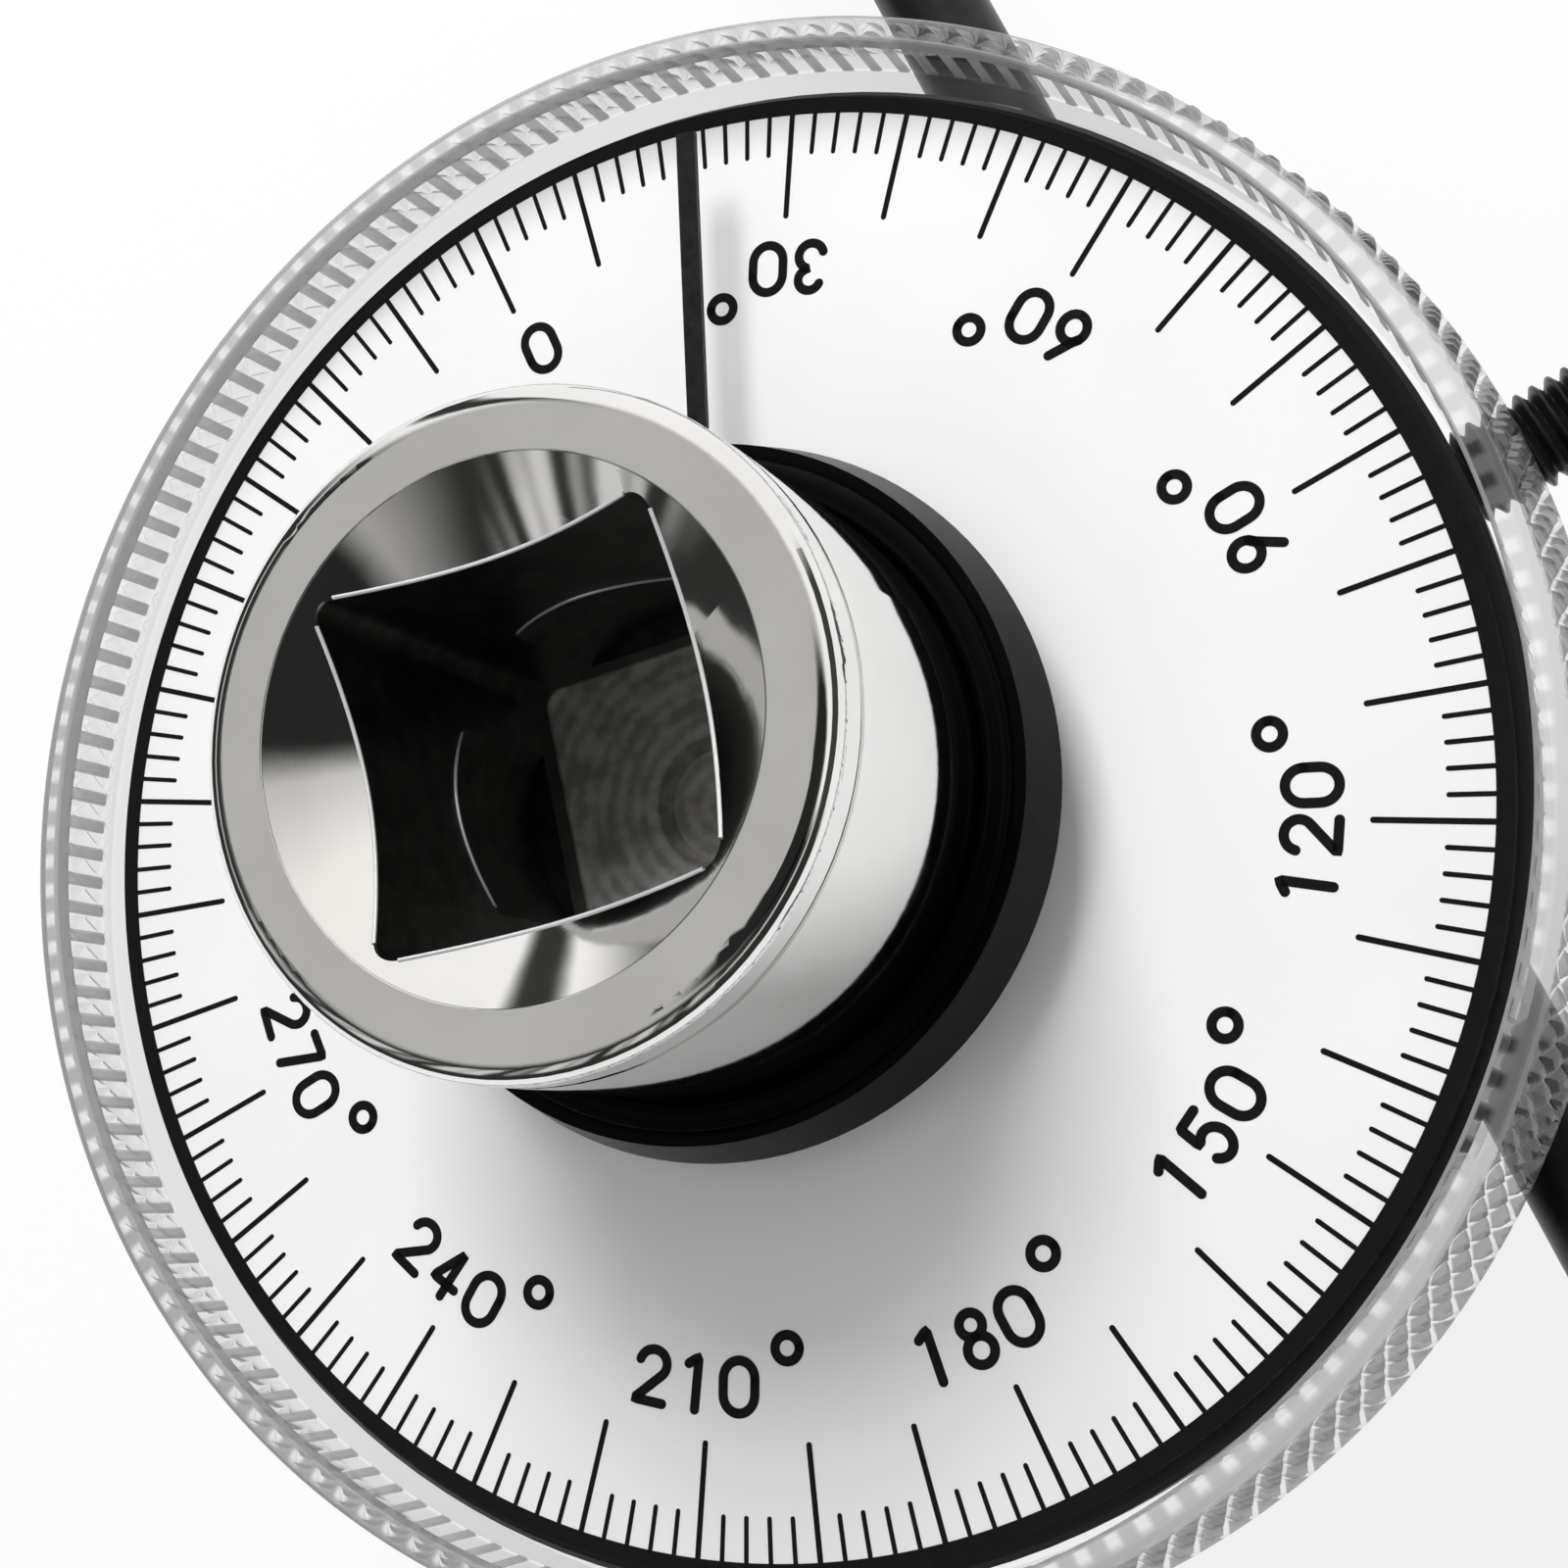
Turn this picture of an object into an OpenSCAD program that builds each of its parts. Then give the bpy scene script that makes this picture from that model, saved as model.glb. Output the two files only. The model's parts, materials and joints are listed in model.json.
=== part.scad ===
// Torque angle gauge: a square-drive spindle that turns through a round dial
// housing, under a clear knurled cover with a pointer line. A stop rod, held by
// a thumb screw, keeps the dial still while the spindle turns.
// The Z axis is the drive axis, with the socket mouth up. Z = 0 is the end face
// of the male square. Dial zero points along +Y and the scale rises clockwise.

/* [Drive] */
// Nominal size of both drive squares, across the flats
drive_af = 12.7; // [12:0.1:14]
// How much wider the socket's square is than the drive square
socket_play = 0.1; // [0.05:0.05:0.3]
// Length of the male square
male_len = 15.5; // [12:0.5:18]
// Diameter to which the corners of the male square are turned
male_corner_d = 16.4; // [15.5:0.1:17]
// Chamfer at the end of the male square
male_chamfer = 1.2; // [0.6:0.1:2]
// Outside diameter of the socket
socket_d = 23.4; // [22.8:0.1:24]
// Height of the socket face above the dial
socket_rise = 20.7; // [19:0.1:26]
// Depth of the socket's square hole
socket_depth = 18.1; // [16:0.1:19]
// Radius of the rounded edge at the socket's mouth
socket_edge_r = 0.9; // [0.5:0.1:1]
// Corner radius of the socket's square hole
square_corner_r = 0.8; // [0.4:0.1:1.2]
// Diameter of the lead-in cone at the socket face
lead_d = 18.6; // [18:0.1:19]
// Half angle of the lead-in cone
lead_angle = 55; // [45:1:60]
// Diameter of the detent recess turned inside the socket
recess_d = 14.7; // [14.2:0.1:15.5]
// Turn of the two squares from dial zero, clockwise
drive_turn = 13; // [0:1:45]
// Diameter of the journal that runs in the bush
journal_d = 17.5; // [17:0.1:18]
// Length of journal behind the housing, for the washer and the retaining ring
journal_tail = 2.8; // [2.6:0.1:4]

/* [Detent] */
// Diameter of the detent ball
ball_d = 3.8; // [3:0.1:4]
// Height of the ball above the end of the male square
ball_height = 7.5; // [6.5:0.1:9]
// How far the ball stands out of the flat
ball_proud = 0.8; // [0.5:0.1:1]
// Wire diameter of the detent spring
spring_wire_d = 0.4; // [0.3:0.05:0.5]

/* [Dial] */
// Diameter of the dial plate
dial_d = 58.6; // [56:0.1:60]
// Thickness of the dial plate
dial_t = 0.9; // [0.6:0.1:1.2]

/* [Clear cover] */
// Thickness of the knurled ring at its rear edge
bezel_wall = 2.2; // [2:0.1:3]
// How much the ring's flank flares from its front edge to its rear edge
knurl_flare = 0.95; // [0.4:0.05:1.1]
// Depth of the knurl
knurl_depth = 0.5; // [0.3:0.05:0.6]
// Number of diamonds around the knurl
knurl_teeth = 156; // [120:2:160]
// Gap between the knurled ring and the ledge inside it
bezel_gap = 0.3; // [0.2:0.05:0.6]
// Height of the cover's front face above the dial
cover_rise = 3.5; // [3:0.1:4.5]
// How far the ring reaches below the dial face
bezel_skirt = 3.45; // [3.3:0.05:4]
// Thickness of the clear lens
lens_t = 2; // [1.2:0.1:2.4]
// Angle of the pointer on the dial
pointer_angle = 23.3; // [0:0.1:359]
// Width of the pointer line
pointer_w = 0.8; // [0.5:0.1:1.2]
// Depth of the pointer's groove
pointer_depth = 0.3; // [0.2:0.05:0.5]
// Distance from the dial's edge to the pointer's tip
pointer_inset = 1.9; // [0.5:0.1:3]

/* [Collar] */
// Diameter of the collar at its foot
collar_d = 28; // [27.8:0.1:30]
// Diameter of the collar at its shoulder
collar_top_d = 26.8; // [26.5:0.1:27.5]
// Height of the collar's shoulder above the lens
collar_h = 2.6; // [2.4:0.1:4]
// Diameter of the spigot that seats in the lens
spigot_d = 25.8; // [25.6:0.1:26.2]
// Thickness of the friction ring's cord
friction_cord_d = 1.5; // [1.3:0.1:1.6]

/* [Housing] */
// Width of the ledge that shows around the dial
ledge_w = 1.1; // [0.8:0.1:1.5]
// Thickness of the ledge flange
ledge_t = 2.3; // [1.8:0.1:2.3]
// How far the drum stands back under the ledge
ledge_step = 2.9; // [1.9:0.1:3.2]
// How far the taper draws in the drum at its rear edge
taper_in = 3.5; // [2:0.1:3.7]
// Depth of the housing from the dial face to its back
housing_depth = 18; // [17.8:0.1:22]
// Height of the taper at the back of the drum
taper_h = 5; // [3:0.5:5]
// Wall of the drum
wall_t = 2.4; // [2:0.1:3]
// Thickness of the housing's front plate
front_t = 2.9; // [2.6:0.1:3.5]
// Thickness of the rear cover
rear_t = 2; // [1.6:0.1:2.4]
// Wall of the bearing bush
bush_wall = 1.6; // [1.2:0.1:1.8]
// Wall of the housing's hub around the bush
hub_wall = 3.1; // [2:0.1:3.1]
// Diameter of the rear screws
rear_screw_d = 2.5; // [2:0.1:3]
// Distance of the rear screws from the edge of the rear cover
rear_screw_inset = 4.7; // [4.5:0.1:5.2]

/* [Stop rod] */
// Diameter of the stop rod
rod_d = 4.5; // [4:0.1:5]
// Length of the stop rod
rod_len = 160; // [120:5:220]
// Distance of the rod's axis from the outside of the drum
rod_inset = 6.5; // [6.2:0.1:7]
// Depth of the rod's axis below the dial face
rod_drop = 10; // [9.5:0.1:10.5]
// How far the rod's middle is moved along it at rest
rod_shift = 30; // [-30:5:40]
// Wall of the rod's end caps
cap_wall = 0.9; // [0.6:0.1:1.4]
// Length of the rod's end caps
cap_len = 9; // [6:0.5:14]

/* [Clamp] */
// Diameter of the clamp screw
screw_d = 4; // [3.5:0.1:4.2]
// Length of bare thread between the housing and the knob
thread_free = 9; // [7:0.5:16]
// Diameter of the clamp knob
knob_d = 14; // [12:0.5:20]
// Length of the clamp knob
knob_len = 10; // [8:0.5:14]
// Number of finger flutes around the knob
knob_flutes = 14; // [8:1:18]

/* [Hidden] */
$fn = 96;
// Overshoot of a cut past the face that it leaves
cut = 0.5;
// Overlap of shapes that are joined into one solid
join = 0.4;
// Radial clearance of a running fit
run_fit = 0.05;
// Radial clearance of pieces that are fixed together
seat_fit = 0.02;
// Free gap between pieces that pass each other
free_gap = 0.35;

// Heights along the drive axis
rear_z = male_len + journal_tail;
dial_z = rear_z + housing_depth;
face_z = dial_z + socket_rise;
floor_z = face_z - socket_depth;
seat_z = dial_z - dial_t;
cover_z = dial_z + cover_rise;
lens_z = cover_z - lens_t;
rod_z = dial_z - rod_drop;
shelf_z = rear_z + rear_t;
ledge_z = seat_z - ledge_t;
taper_z = rear_z + taper_h;

// Drive
socket_r = socket_d / 2;
journal_r = journal_d / 2;
lead_r = lead_d / 2;
socket_af = drive_af + socket_play;
// The lead-in cone and the roof of the recess run a little past the flats of the square
flat_r = 0.47 * socket_af;
lead_depth = (lead_r - flat_r) / tan(lead_angle);
lead_mouth_r = lead_r + cut * tan(lead_angle);
// Bottom, shoulder and top of the detent recess above the socket's floor
recess_low = 1.5;
recess_high = 8;
recess_top = 10.4;
// Centre mark that the drill leaves in the socket's floor
drill_mark_r = 3.2;
drill_mark_depth = 0.5;
// Fine line turned around the socket below its mouth
line_drop = 2;
line_w = 0.35;
line_depth = 0.12;

// Thrust stack under the socket's shoulder
shoulder_z = dial_z - 0.5;
washer_t = 0.6;
disc_t = 0.4;
disc_h = 0.9;
thrust_gap = 0.05;
washer_r = socket_r - 0.2;
flange_t = 1;
flange_z = shoulder_z - washer_t - disc_h - thrust_gap - flange_t;
flange_r = washer_r + 0.2;
flange_pocket_r = socket_r + free_gap;

// Retaining ring and washer behind the housing
ring_t = 1;
ring_groove_depth = 0.6;
ring_rim = 1.7;
ring_gap = 3.4;
ring_lug_r = 1.3;
ring_lug_hole_r = 0.6;
rear_washer_t = 0.8;
rear_washer_r = journal_r + 3.2;
rear_washer_z = rear_z - thrust_gap - rear_washer_t;
ring_z = rear_washer_z - ring_t;

// Detent, along the normal of one flat of the male square
ball_r = ball_d / 2;
detent_turn = -drive_turn - 90;
ball_x = drive_af / 2 + ball_proud - ball_r;
ball_hole_r = ball_r + run_fit;
// The staked lip that keeps the ball in
lip_t = 0.35;
lip_x = drive_af / 2 - lip_t;
lip_r = sqrt(ball_r * ball_r - pow(lip_x - ball_x, 2)) + run_fit;
ball_hole_x = 0.5;
spring_r = ball_r - 0.5;
spring_low_x = ball_hole_x + spring_wire_d / 2;
// The last coil touches the back of the ball
spring_high_x = ball_x - sqrt(pow(ball_r + spring_wire_d / 2, 2) - spring_r * spring_r);
spring_turns = 4;
spring_steps = 14;
spring_sides = 6;

// Clear cover
ledge_r = dial_d / 2 + ledge_w;
bezel_bore_r = ledge_r + bezel_gap;
bezel_r = bezel_bore_r + bezel_wall;
bezel_front_r = bezel_r - knurl_flare;
bezel_bevel_w = 0.5;
bezel_bevel_h = 0.9;
bezel_rim_h = 0.35;
bezel_face_r = bezel_front_r - bezel_bevel_w;
bezel_low_z = dial_z - bezel_skirt;
// The knurl's rows lie half a diamond apart, between two plain edges
knurl_rows = 3;
knurl_top_z = cover_z - bezel_bevel_h;
bezel_edge_z = bezel_low_z + bezel_rim_h;
knurl_step = (knurl_top_z - bezel_edge_z) / (knurl_rows + 1);
lens_r = bezel_bore_r - seat_fit * 2;
lens_hole_r = spigot_d / 2 + seat_fit;
pointer_gap = 0.5;
pointer_root = spigot_d / 2 + pointer_gap;
pointer_reach = dial_d / 2 - pointer_inset;

// Collar
collar_bore_r = socket_r + run_fit;
collar_r = collar_d / 2;
collar_top_r = collar_top_d / 2;
collar_z = cover_z + collar_h;
collar_lip = 0.35;
bead_r = 0.62;
bead_x = collar_bore_r + bead_r - 0.04;
bead_z = collar_z - 0.2;
friction_r = friction_cord_d / 2;
friction_z = cover_z + 1.4;
// The friction ring sits half a millimetre into the socket's groove
friction_groove_r = socket_r - 0.5;
friction_mid_r = friction_groove_r + friction_r + seat_fit;
friction_w = friction_cord_d + 0.2;

// Housing
// Broken edge of the ledge and of the drum's back
edge_break = 0.25;
drum_r = ledge_r - ledge_step;
foot_r = drum_r - taper_in;
dial_hole_r = flange_pocket_r + 0.2;
bush_bore_r = journal_r + run_fit;
bush_r = bush_bore_r + bush_wall;
hub_r = bush_r + hub_wall;
bush_low_z = shelf_z + 1;
rear_seat_r = foot_r - 1.3;
rear_shelf_w = 1.3;
rear_screw_pcr = rear_seat_r - rear_screw_inset;
rear_hole_r = journal_r + free_gap;
screw_core_r = rear_screw_d / 2 + seat_fit;
column_r = rear_screw_d / 2 + 1.6;
rear_screw_len = 8;
rear_head_r = rear_screw_d * 0.95;
rear_head_h = 1.4;
slot_w = 0.6;
slot_depth = 0.6;
rib_w = 1.6;
// The ribs end above the edge of the taper
rib_z = taper_z + 1.5;

// Stop rod and clamp, on the +X side
rod_r = rod_d / 2;
rod_offset = drum_r - rod_inset;
rod_bore_r = rod_r + run_fit;
rod_boss_r = rod_r + 1.9;
rod_chamfer = 0.4;
screw_r = screw_d / 2;
insert_r = screw_r + 1;
insert_bore_r = screw_r + run_fit;
clamp_boss_r = insert_r + 2.1;
clamp_boss_x = drum_r + 2;
insert_len = 5;
insert_x = clamp_boss_x - insert_len;
pad_r = screw_r - 0.15;
pad_t = 1;
// The pad stands clear of the rod when the clamp is slack
pad_gap = 0.3;
pad_x = rod_offset + rod_r + pad_gap;
stud_x = pad_x + pad_t;
knob_reach = clamp_boss_x + thread_free;
stud_in_knob = 7;
stud_chamfer = 0.4;
knob_r = knob_d / 2;
knob_hub_r = knob_r * 0.62;
knob_hub_len = knob_len * 0.25;
knob_flute_r = 1.1;
knob_dome = knob_len * 0.12;

// A tube about the Z axis between two heights
module tube(r_out, r_in, low, high) {
    translate([0, 0, low])
        difference() {
            cylinder(r = r_out, h = high - low);
            translate([0, 0, -cut]) cylinder(r = r_in, h = high - low + 2 * cut);
        }
}

// A cylinder along +X between two distances from the drive axis
module rod_x(r, from, to) {
    translate([from, 0, 0]) rotate([0, 90, 0]) cylinder(r = r, h = to - from);
}

// Places its children at the detent, with +X along the normal of the flat
module at_detent() {
    translate([0, 0, ball_height]) rotate([0, 0, detent_turn]) children();
}

// Places its children on the clamp's axis, with +X outwards
module at_clamp() {
    translate([0, 0, rod_z]) children();
}

// Places its children on the stop rod's axis, with +Z along it towards dial zero
module at_rod() {
    translate([rod_offset, 0, rod_z]) rotate([-90, 0, 0]) children();
}

// Places one child at each rear screw
module at_rear_screws() {
    for (k = [0:3]) rotate([0, 0, 45 + 90 * k]) translate([rear_screw_pcr, 0, 0]) children();
}

// Square with rounded corners
module rounded_square(af, corner_r) {
    inner = af - 2 * corner_r;
    square([af, inner], center = true);
    square([inner, af], center = true);
    for (sx = [-1, 1], sy = [-1, 1])
        translate([sx * inner / 2, sy * inner / 2]) circle(r = corner_r);
}

// Half section of the socket, with the rounded edge at its mouth
module socket_section() {
    h = face_z - shoulder_z;
    square([socket_r, h - socket_edge_r]);
    square([socket_r - socket_edge_r, h]);
    translate([socket_r - socket_edge_r, h - socket_edge_r]) circle(r = socket_edge_r);
}

// Male square with turned corners and a chamfered end
module male_square() {
    rotate([0, 0, -drive_turn])
        intersection() {
            linear_extrude(male_len + join) square(drive_af, center = true);
            union() {
                translate([0, 0, male_chamfer]) cylinder(d = male_corner_d, h = male_len);
                cylinder(d1 = male_corner_d - 2 * male_chamfer, d2 = male_corner_d, h = male_chamfer);
            }
        }
}

// Square hole of the socket with its lead-in cone, detent recess and drill mark
module socket_hole() {
    translate([0, 0, floor_z]) rotate([0, 0, -drive_turn])
        linear_extrude(socket_depth + cut) rounded_square(socket_af, square_corner_r);
    translate([0, 0, face_z - lead_depth])
        cylinder(r1 = flat_r, r2 = lead_mouth_r, h = lead_depth + cut);
    translate([0, 0, floor_z])
        rotate_extrude()
            polygon([
                [0, recess_low], [recess_d / 2, recess_low], [recess_d / 2, recess_high],
                [flat_r, recess_top], [0, recess_top]
            ]);
    translate([0, 0, floor_z - drill_mark_depth])
        cylinder(r1 = drill_mark_r * 0.7, r2 = drill_mark_r, h = drill_mark_depth + cut);
}

// Cross hole for the detent ball, with the staked lip at its mouth
module detent_hole() {
    at_detent() {
        rod_x(ball_hole_r, ball_hole_x, lip_x);
        rod_x(lip_r, lip_x - join, drive_af / 2 + cut);
    }
}

module drive_spindle() {
    color("silver")
        difference() {
            union() {
                translate([0, 0, shoulder_z]) rotate_extrude() socket_section();
                translate([0, 0, male_len]) cylinder(r = journal_r, h = shoulder_z - male_len + join);
                male_square();
            }
            socket_hole();
            detent_hole();
            tube(journal_r + cut, journal_r - ring_groove_depth, ring_z - seat_fit, ring_z + ring_t + seat_fit);
            tube(socket_r + cut, friction_groove_r, friction_z - friction_w / 2, friction_z + friction_w / 2);
            tube(socket_r + cut, socket_r - line_depth, face_z - line_drop - line_w, face_z - line_drop);
        }
}

// Points of one ring of the spring's wire, at turn angle a
function spring_point(a, s) =
    let (
        rise = (spring_high_x - spring_low_x) / (spring_turns * 360),
        across = spring_r + spring_wire_d / 2 * cos(s)
    )
    [spring_low_x + a * rise + spring_wire_d / 2 * sin(s), across * cos(a), across * sin(a)];

// Coil along +X from the bottom of the cross hole to the back of the ball
module detent_spring() {
    rings = spring_turns * spring_steps + 1;
    last = (rings - 1) * spring_sides;
    points = [
        for (k = [0:rings - 1], j = [0:spring_sides - 1])
            spring_point(k * 360 / spring_steps, j * 360 / spring_sides)
    ];
    sides = [
        for (k = [0:rings - 2], j = [0:spring_sides - 1])
            let (n = (j + 1) % spring_sides, a = k * spring_sides)
            [a + j, a + n, a + spring_sides + n, a + spring_sides + j]
    ];
    first_cap = [for (j = [spring_sides - 1:-1:0]) j];
    last_cap = [for (j = [0:spring_sides - 1]) last + j];
    color("silver") at_detent() polyhedron(concat(points), concat(sides, [first_cap], [last_cap]));
}

module detent_ball() {
    color("gainsboro") at_detent() translate([ball_x, 0, 0]) sphere(r = ball_r);
}

module thrust_washer() {
    color("dimgray") tube(washer_r, journal_r + seat_fit, shoulder_z - washer_t, shoulder_z);
}

// Coned spring washer that takes up the end play
module disc_spring() {
    top = shoulder_z - washer_t;
    inner_r = journal_r + seat_fit;
    color("slategray")
        rotate_extrude()
            polygon([
                [inner_r, top - disc_t], [washer_r, top - disc_h],
                [washer_r, top - disc_h + disc_t], [inner_r, top]
            ]);
}

module rear_washer() {
    color("gainsboro")
        tube(rear_washer_r, journal_r + seat_fit, rear_washer_z, rear_washer_z + rear_washer_t);
}

// Open retaining ring with two plier lugs
module retaining_ring() {
    inner_r = journal_r - ring_groove_depth + seat_fit;
    lug_turn = asin((ring_gap / 2 + ring_lug_r) / (journal_r + ring_lug_r));
    color("dimgray")
        difference() {
            union() {
                tube(journal_r + ring_rim, inner_r, ring_z, ring_z + ring_t);
                for (s = [-1, 1])
                    rotate([0, 0, s * lug_turn])
                        translate([0, -journal_r - ring_lug_r, ring_z]) cylinder(r = ring_lug_r, h = ring_t);
            }
            translate([-ring_gap / 2, -journal_r - 3 * ring_rim, ring_z - cut])
                cube([ring_gap, 3 * ring_rim + ring_groove_depth + cut, ring_t + 2 * cut]);
            for (s = [-1, 1])
                rotate([0, 0, s * lug_turn])
                    translate([0, -journal_r - ring_lug_r, ring_z - cut])
                        cylinder(r = ring_lug_hole_r, h = ring_t + 2 * cut);
        }
}

// Outside of the housing as one solid of revolution
module housing_outside() {
    rotate_extrude()
        polygon([
            [0, seat_z], [ledge_r - edge_break, seat_z], [ledge_r, seat_z - edge_break],
            [ledge_r, ledge_z + edge_break], [ledge_r - edge_break, ledge_z], [drum_r, ledge_z],
            [drum_r, taper_z], [foot_r, rear_z + edge_break], [foot_r - edge_break, rear_z], [0, rear_z]
        ]);
}

// Space inside the drum, with the rebate that takes the rear cover
module housing_inside() {
    rotate_extrude()
        polygon([
            [0, seat_z - front_t], [drum_r - wall_t, seat_z - front_t], [drum_r - wall_t, taper_z],
            [rear_seat_r - rear_shelf_w, shelf_z], [rear_seat_r, shelf_z],
            [rear_seat_r, rear_z - cut], [0, rear_z - cut]
        ]);
}

// Hub, screw columns, ribs and the rod's tube, inside the drum
module housing_core() {
    top = seat_z - front_t + join;
    translate([0, 0, shelf_z]) cylinder(r = hub_r, h = top - shelf_z);
    at_rear_screws() translate([0, 0, shelf_z]) cylinder(r = column_r, h = top - shelf_z);
    for (k = [0:3])
        rotate([0, 0, 45 + 90 * k])
            translate([hub_r - join, -rib_w / 2, rib_z])
                cube([drum_r - wall_t - hub_r + 2 * join, rib_w, top - rib_z]);
    intersection() {
        at_rod() translate([0, 0, -drum_r]) cylinder(r = rod_boss_r, h = 2 * drum_r);
        housing_outside();
    }
    at_clamp() rod_x(clamp_boss_r, rod_offset, clamp_boss_x);
}

module base_housing() {
    color("#1c1c1c")
        difference() {
            union() {
                difference() {
                    housing_outside();
                    housing_inside();
                }
                housing_core();
            }
            translate([0, 0, rear_z]) cylinder(r = bush_r + seat_fit, h = housing_depth);
            translate([0, 0, flange_z]) cylinder(r = flange_pocket_r, h = housing_depth);
            at_rod() translate([0, 0, -drum_r - cut]) cylinder(r = rod_bore_r, h = 2 * (drum_r + cut));
            at_clamp() rod_x(insert_bore_r, rod_offset, clamp_boss_x);
            at_clamp() rod_x(insert_r + seat_fit, insert_x, clamp_boss_x + cut);
            at_rear_screws()
                translate([0, 0, rear_z]) cylinder(r = screw_core_r, h = rear_t + rear_screw_len);
        }
}

module bearing_bush() {
    color("peru")
        difference() {
            union() {
                translate([0, 0, bush_low_z]) cylinder(r = bush_r, h = flange_z - bush_low_z + join);
                translate([0, 0, flange_z]) cylinder(r = flange_r, h = flange_t);
            }
            translate([0, 0, rear_z]) cylinder(r = bush_bore_r, h = housing_depth);
        }
}

module dial_plate() {
    color("white") tube(dial_d / 2, dial_hole_r, seat_z, dial_z);
}

module rear_cover() {
    color("#242424")
        difference() {
            tube(rear_seat_r - seat_fit * 2, rear_hole_r, rear_z, shelf_z);
            at_rear_screws()
                translate([0, 0, rear_z - cut]) cylinder(r = screw_core_r, h = rear_t + 2 * cut);
        }
}

// Pan-head screws with a straight slot, driven from behind
module rear_screws() {
    color("gainsboro")
        at_rear_screws()
            difference() {
                union() {
                    translate([0, 0, rear_z - rear_head_h]) cylinder(r = rear_head_r, h = rear_head_h);
                    translate([0, 0, rear_z - join])
                        cylinder(r = rear_screw_d / 2, h = rear_t + rear_screw_len + join - cut);
                }
                translate([-rear_screw_d, -slot_w / 2, rear_z - rear_head_h - cut])
                    cube([2 * rear_screw_d, slot_w, slot_depth + cut]);
            }
}

module thread_insert() {
    color("goldenrod")
        at_clamp()
            difference() {
                rod_x(insert_r, insert_x + seat_fit, clamp_boss_x);
                rod_x(insert_bore_r, insert_x - cut, clamp_boss_x + cut);
            }
}

// Radius of the knurl's valleys in row j, which follow the flare
function knurl_root(j) = bezel_front_r + knurl_flare * j / (knurl_rows + 1) - knurl_depth / 4;

// Profile of the knurled ring at column i: the crests of one row stand beside
// the valleys of the next, so that four sloping faces make each diamond
function bezel_profile(i) = concat(
    [
        [bezel_bore_r, bezel_low_z], [bezel_bore_r, cover_z], [bezel_face_r, cover_z],
        [bezel_front_r, knurl_top_z]
    ],
    [
        for (j = [1:knurl_rows])
            [knurl_root(j) + ((i + j) % 2 == 0 ? 0 : knurl_depth), knurl_top_z - j * knurl_step]
    ],
    [[bezel_r, bezel_edge_z], [bezel_r, bezel_low_z]]
);

// Clear ring with a diamond knurl around its rim
module bezel_ring() {
    columns = 2 * knurl_teeth;
    rows = knurl_rows + 6;
    points = [
        for (i = [0:columns - 1], p = bezel_profile(i))
            [p[0] * cos(i * 360 / columns), p[0] * sin(i * 360 / columns), p[1]]
    ];
    // Each cell is split along its valley, from one low corner to the other
    faces = [
        for (i = [0:columns - 1], j = [0:rows - 1])
            let (
                a = i * rows + j,
                b = i * rows + (j + 1) % rows,
                c = (i + 1) % columns * rows + (j + 1) % rows,
                d = (i + 1) % columns * rows + j
            )
            each ((i + j) % 2 == 1 ? [[a, b, c], [a, c, d]] : [[a, b, d], [b, c, d]])
    ];
    color("#e8ecec", 0.4) polyhedron(points, faces);
}

// Groove in the lens's front face that the pointer fills
module pointer_bar(side) {
    rotate([0, 0, -pointer_angle])
        translate([-pointer_w / 2 - side, pointer_root - side, cover_z - pointer_depth])
            cube([pointer_w + 2 * side, pointer_reach - pointer_root + 2 * side, pointer_depth + side]);
}

module lens() {
    color("#f4f6f6", 0.3)
        difference() {
            tube(lens_r, lens_hole_r, lens_z, cover_z);
            pointer_bar(seat_fit);
        }
}

module pointer() {
    color("#141414") pointer_bar(0);
}

// Half section of the collar: spigot, tapered flange and rounded bead
module collar_section() {
    polygon([
        [collar_bore_r, lens_z], [spigot_d / 2, lens_z], [spigot_d / 2, cover_z], [collar_r, cover_z],
        [collar_top_r, collar_z], [collar_top_r - collar_lip, collar_z], [bead_x, bead_z],
        [collar_bore_r, bead_z]
    ]);
    intersection() {
        translate([bead_x, bead_z]) circle(r = bead_r);
        translate([collar_bore_r, bead_z - bead_r]) square(2 * bead_r + 1);
    }
}

module collar() {
    color("#161616")
        difference() {
            rotate_extrude() collar_section();
            tube(
                friction_mid_r + friction_r + seat_fit, collar_bore_r - cut,
                friction_z - friction_w / 2, friction_z + friction_w / 2
            );
        }
}

// Rubber ring that grips the socket, so that the pointer stays where it is set
module friction_ring() {
    color("#202020")
        translate([0, 0, friction_z])
            rotate_extrude() translate([friction_mid_r, 0]) circle(r = friction_r);
}

module stop_rod() {
    body_len = rod_len - 2 * rod_chamfer;
    color("#181818")
        at_rod() translate([0, 0, rod_shift - rod_len / 2]) {
            translate([0, 0, rod_chamfer]) cylinder(r = rod_r, h = body_len);
            cylinder(r1 = rod_r - rod_chamfer, r2 = rod_r, h = rod_chamfer);
            translate([0, 0, rod_len - rod_chamfer])
                cylinder(r1 = rod_r, r2 = rod_r - rod_chamfer, h = rod_chamfer);
        }
}

// Half section of an end cap, open towards the rod at its lower end
module cap_section() {
    cap_r = rod_r + cap_wall;
    inside = rod_r + seat_fit;
    translate([inside, 0]) square([cap_r - inside, cap_len - cap_r / 2]);
    difference() {
        intersection() {
            translate([0, cap_len - cap_r]) circle(r = cap_r);
            translate([0, cap_len - cap_r]) square([cap_r, cap_r]);
        }
        square([inside, cap_len - cap_wall - join]);
    }
}

module rod_end_caps() {
    color("#2a2a2a")
        at_rod() translate([0, 0, rod_shift])
            for (s = [0, 1])
                mirror([0, 0, s])
                    translate([0, 0, rod_len / 2 - cap_len + cap_wall + join + seat_fit])
                        rotate_extrude() cap_section();
}

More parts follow.
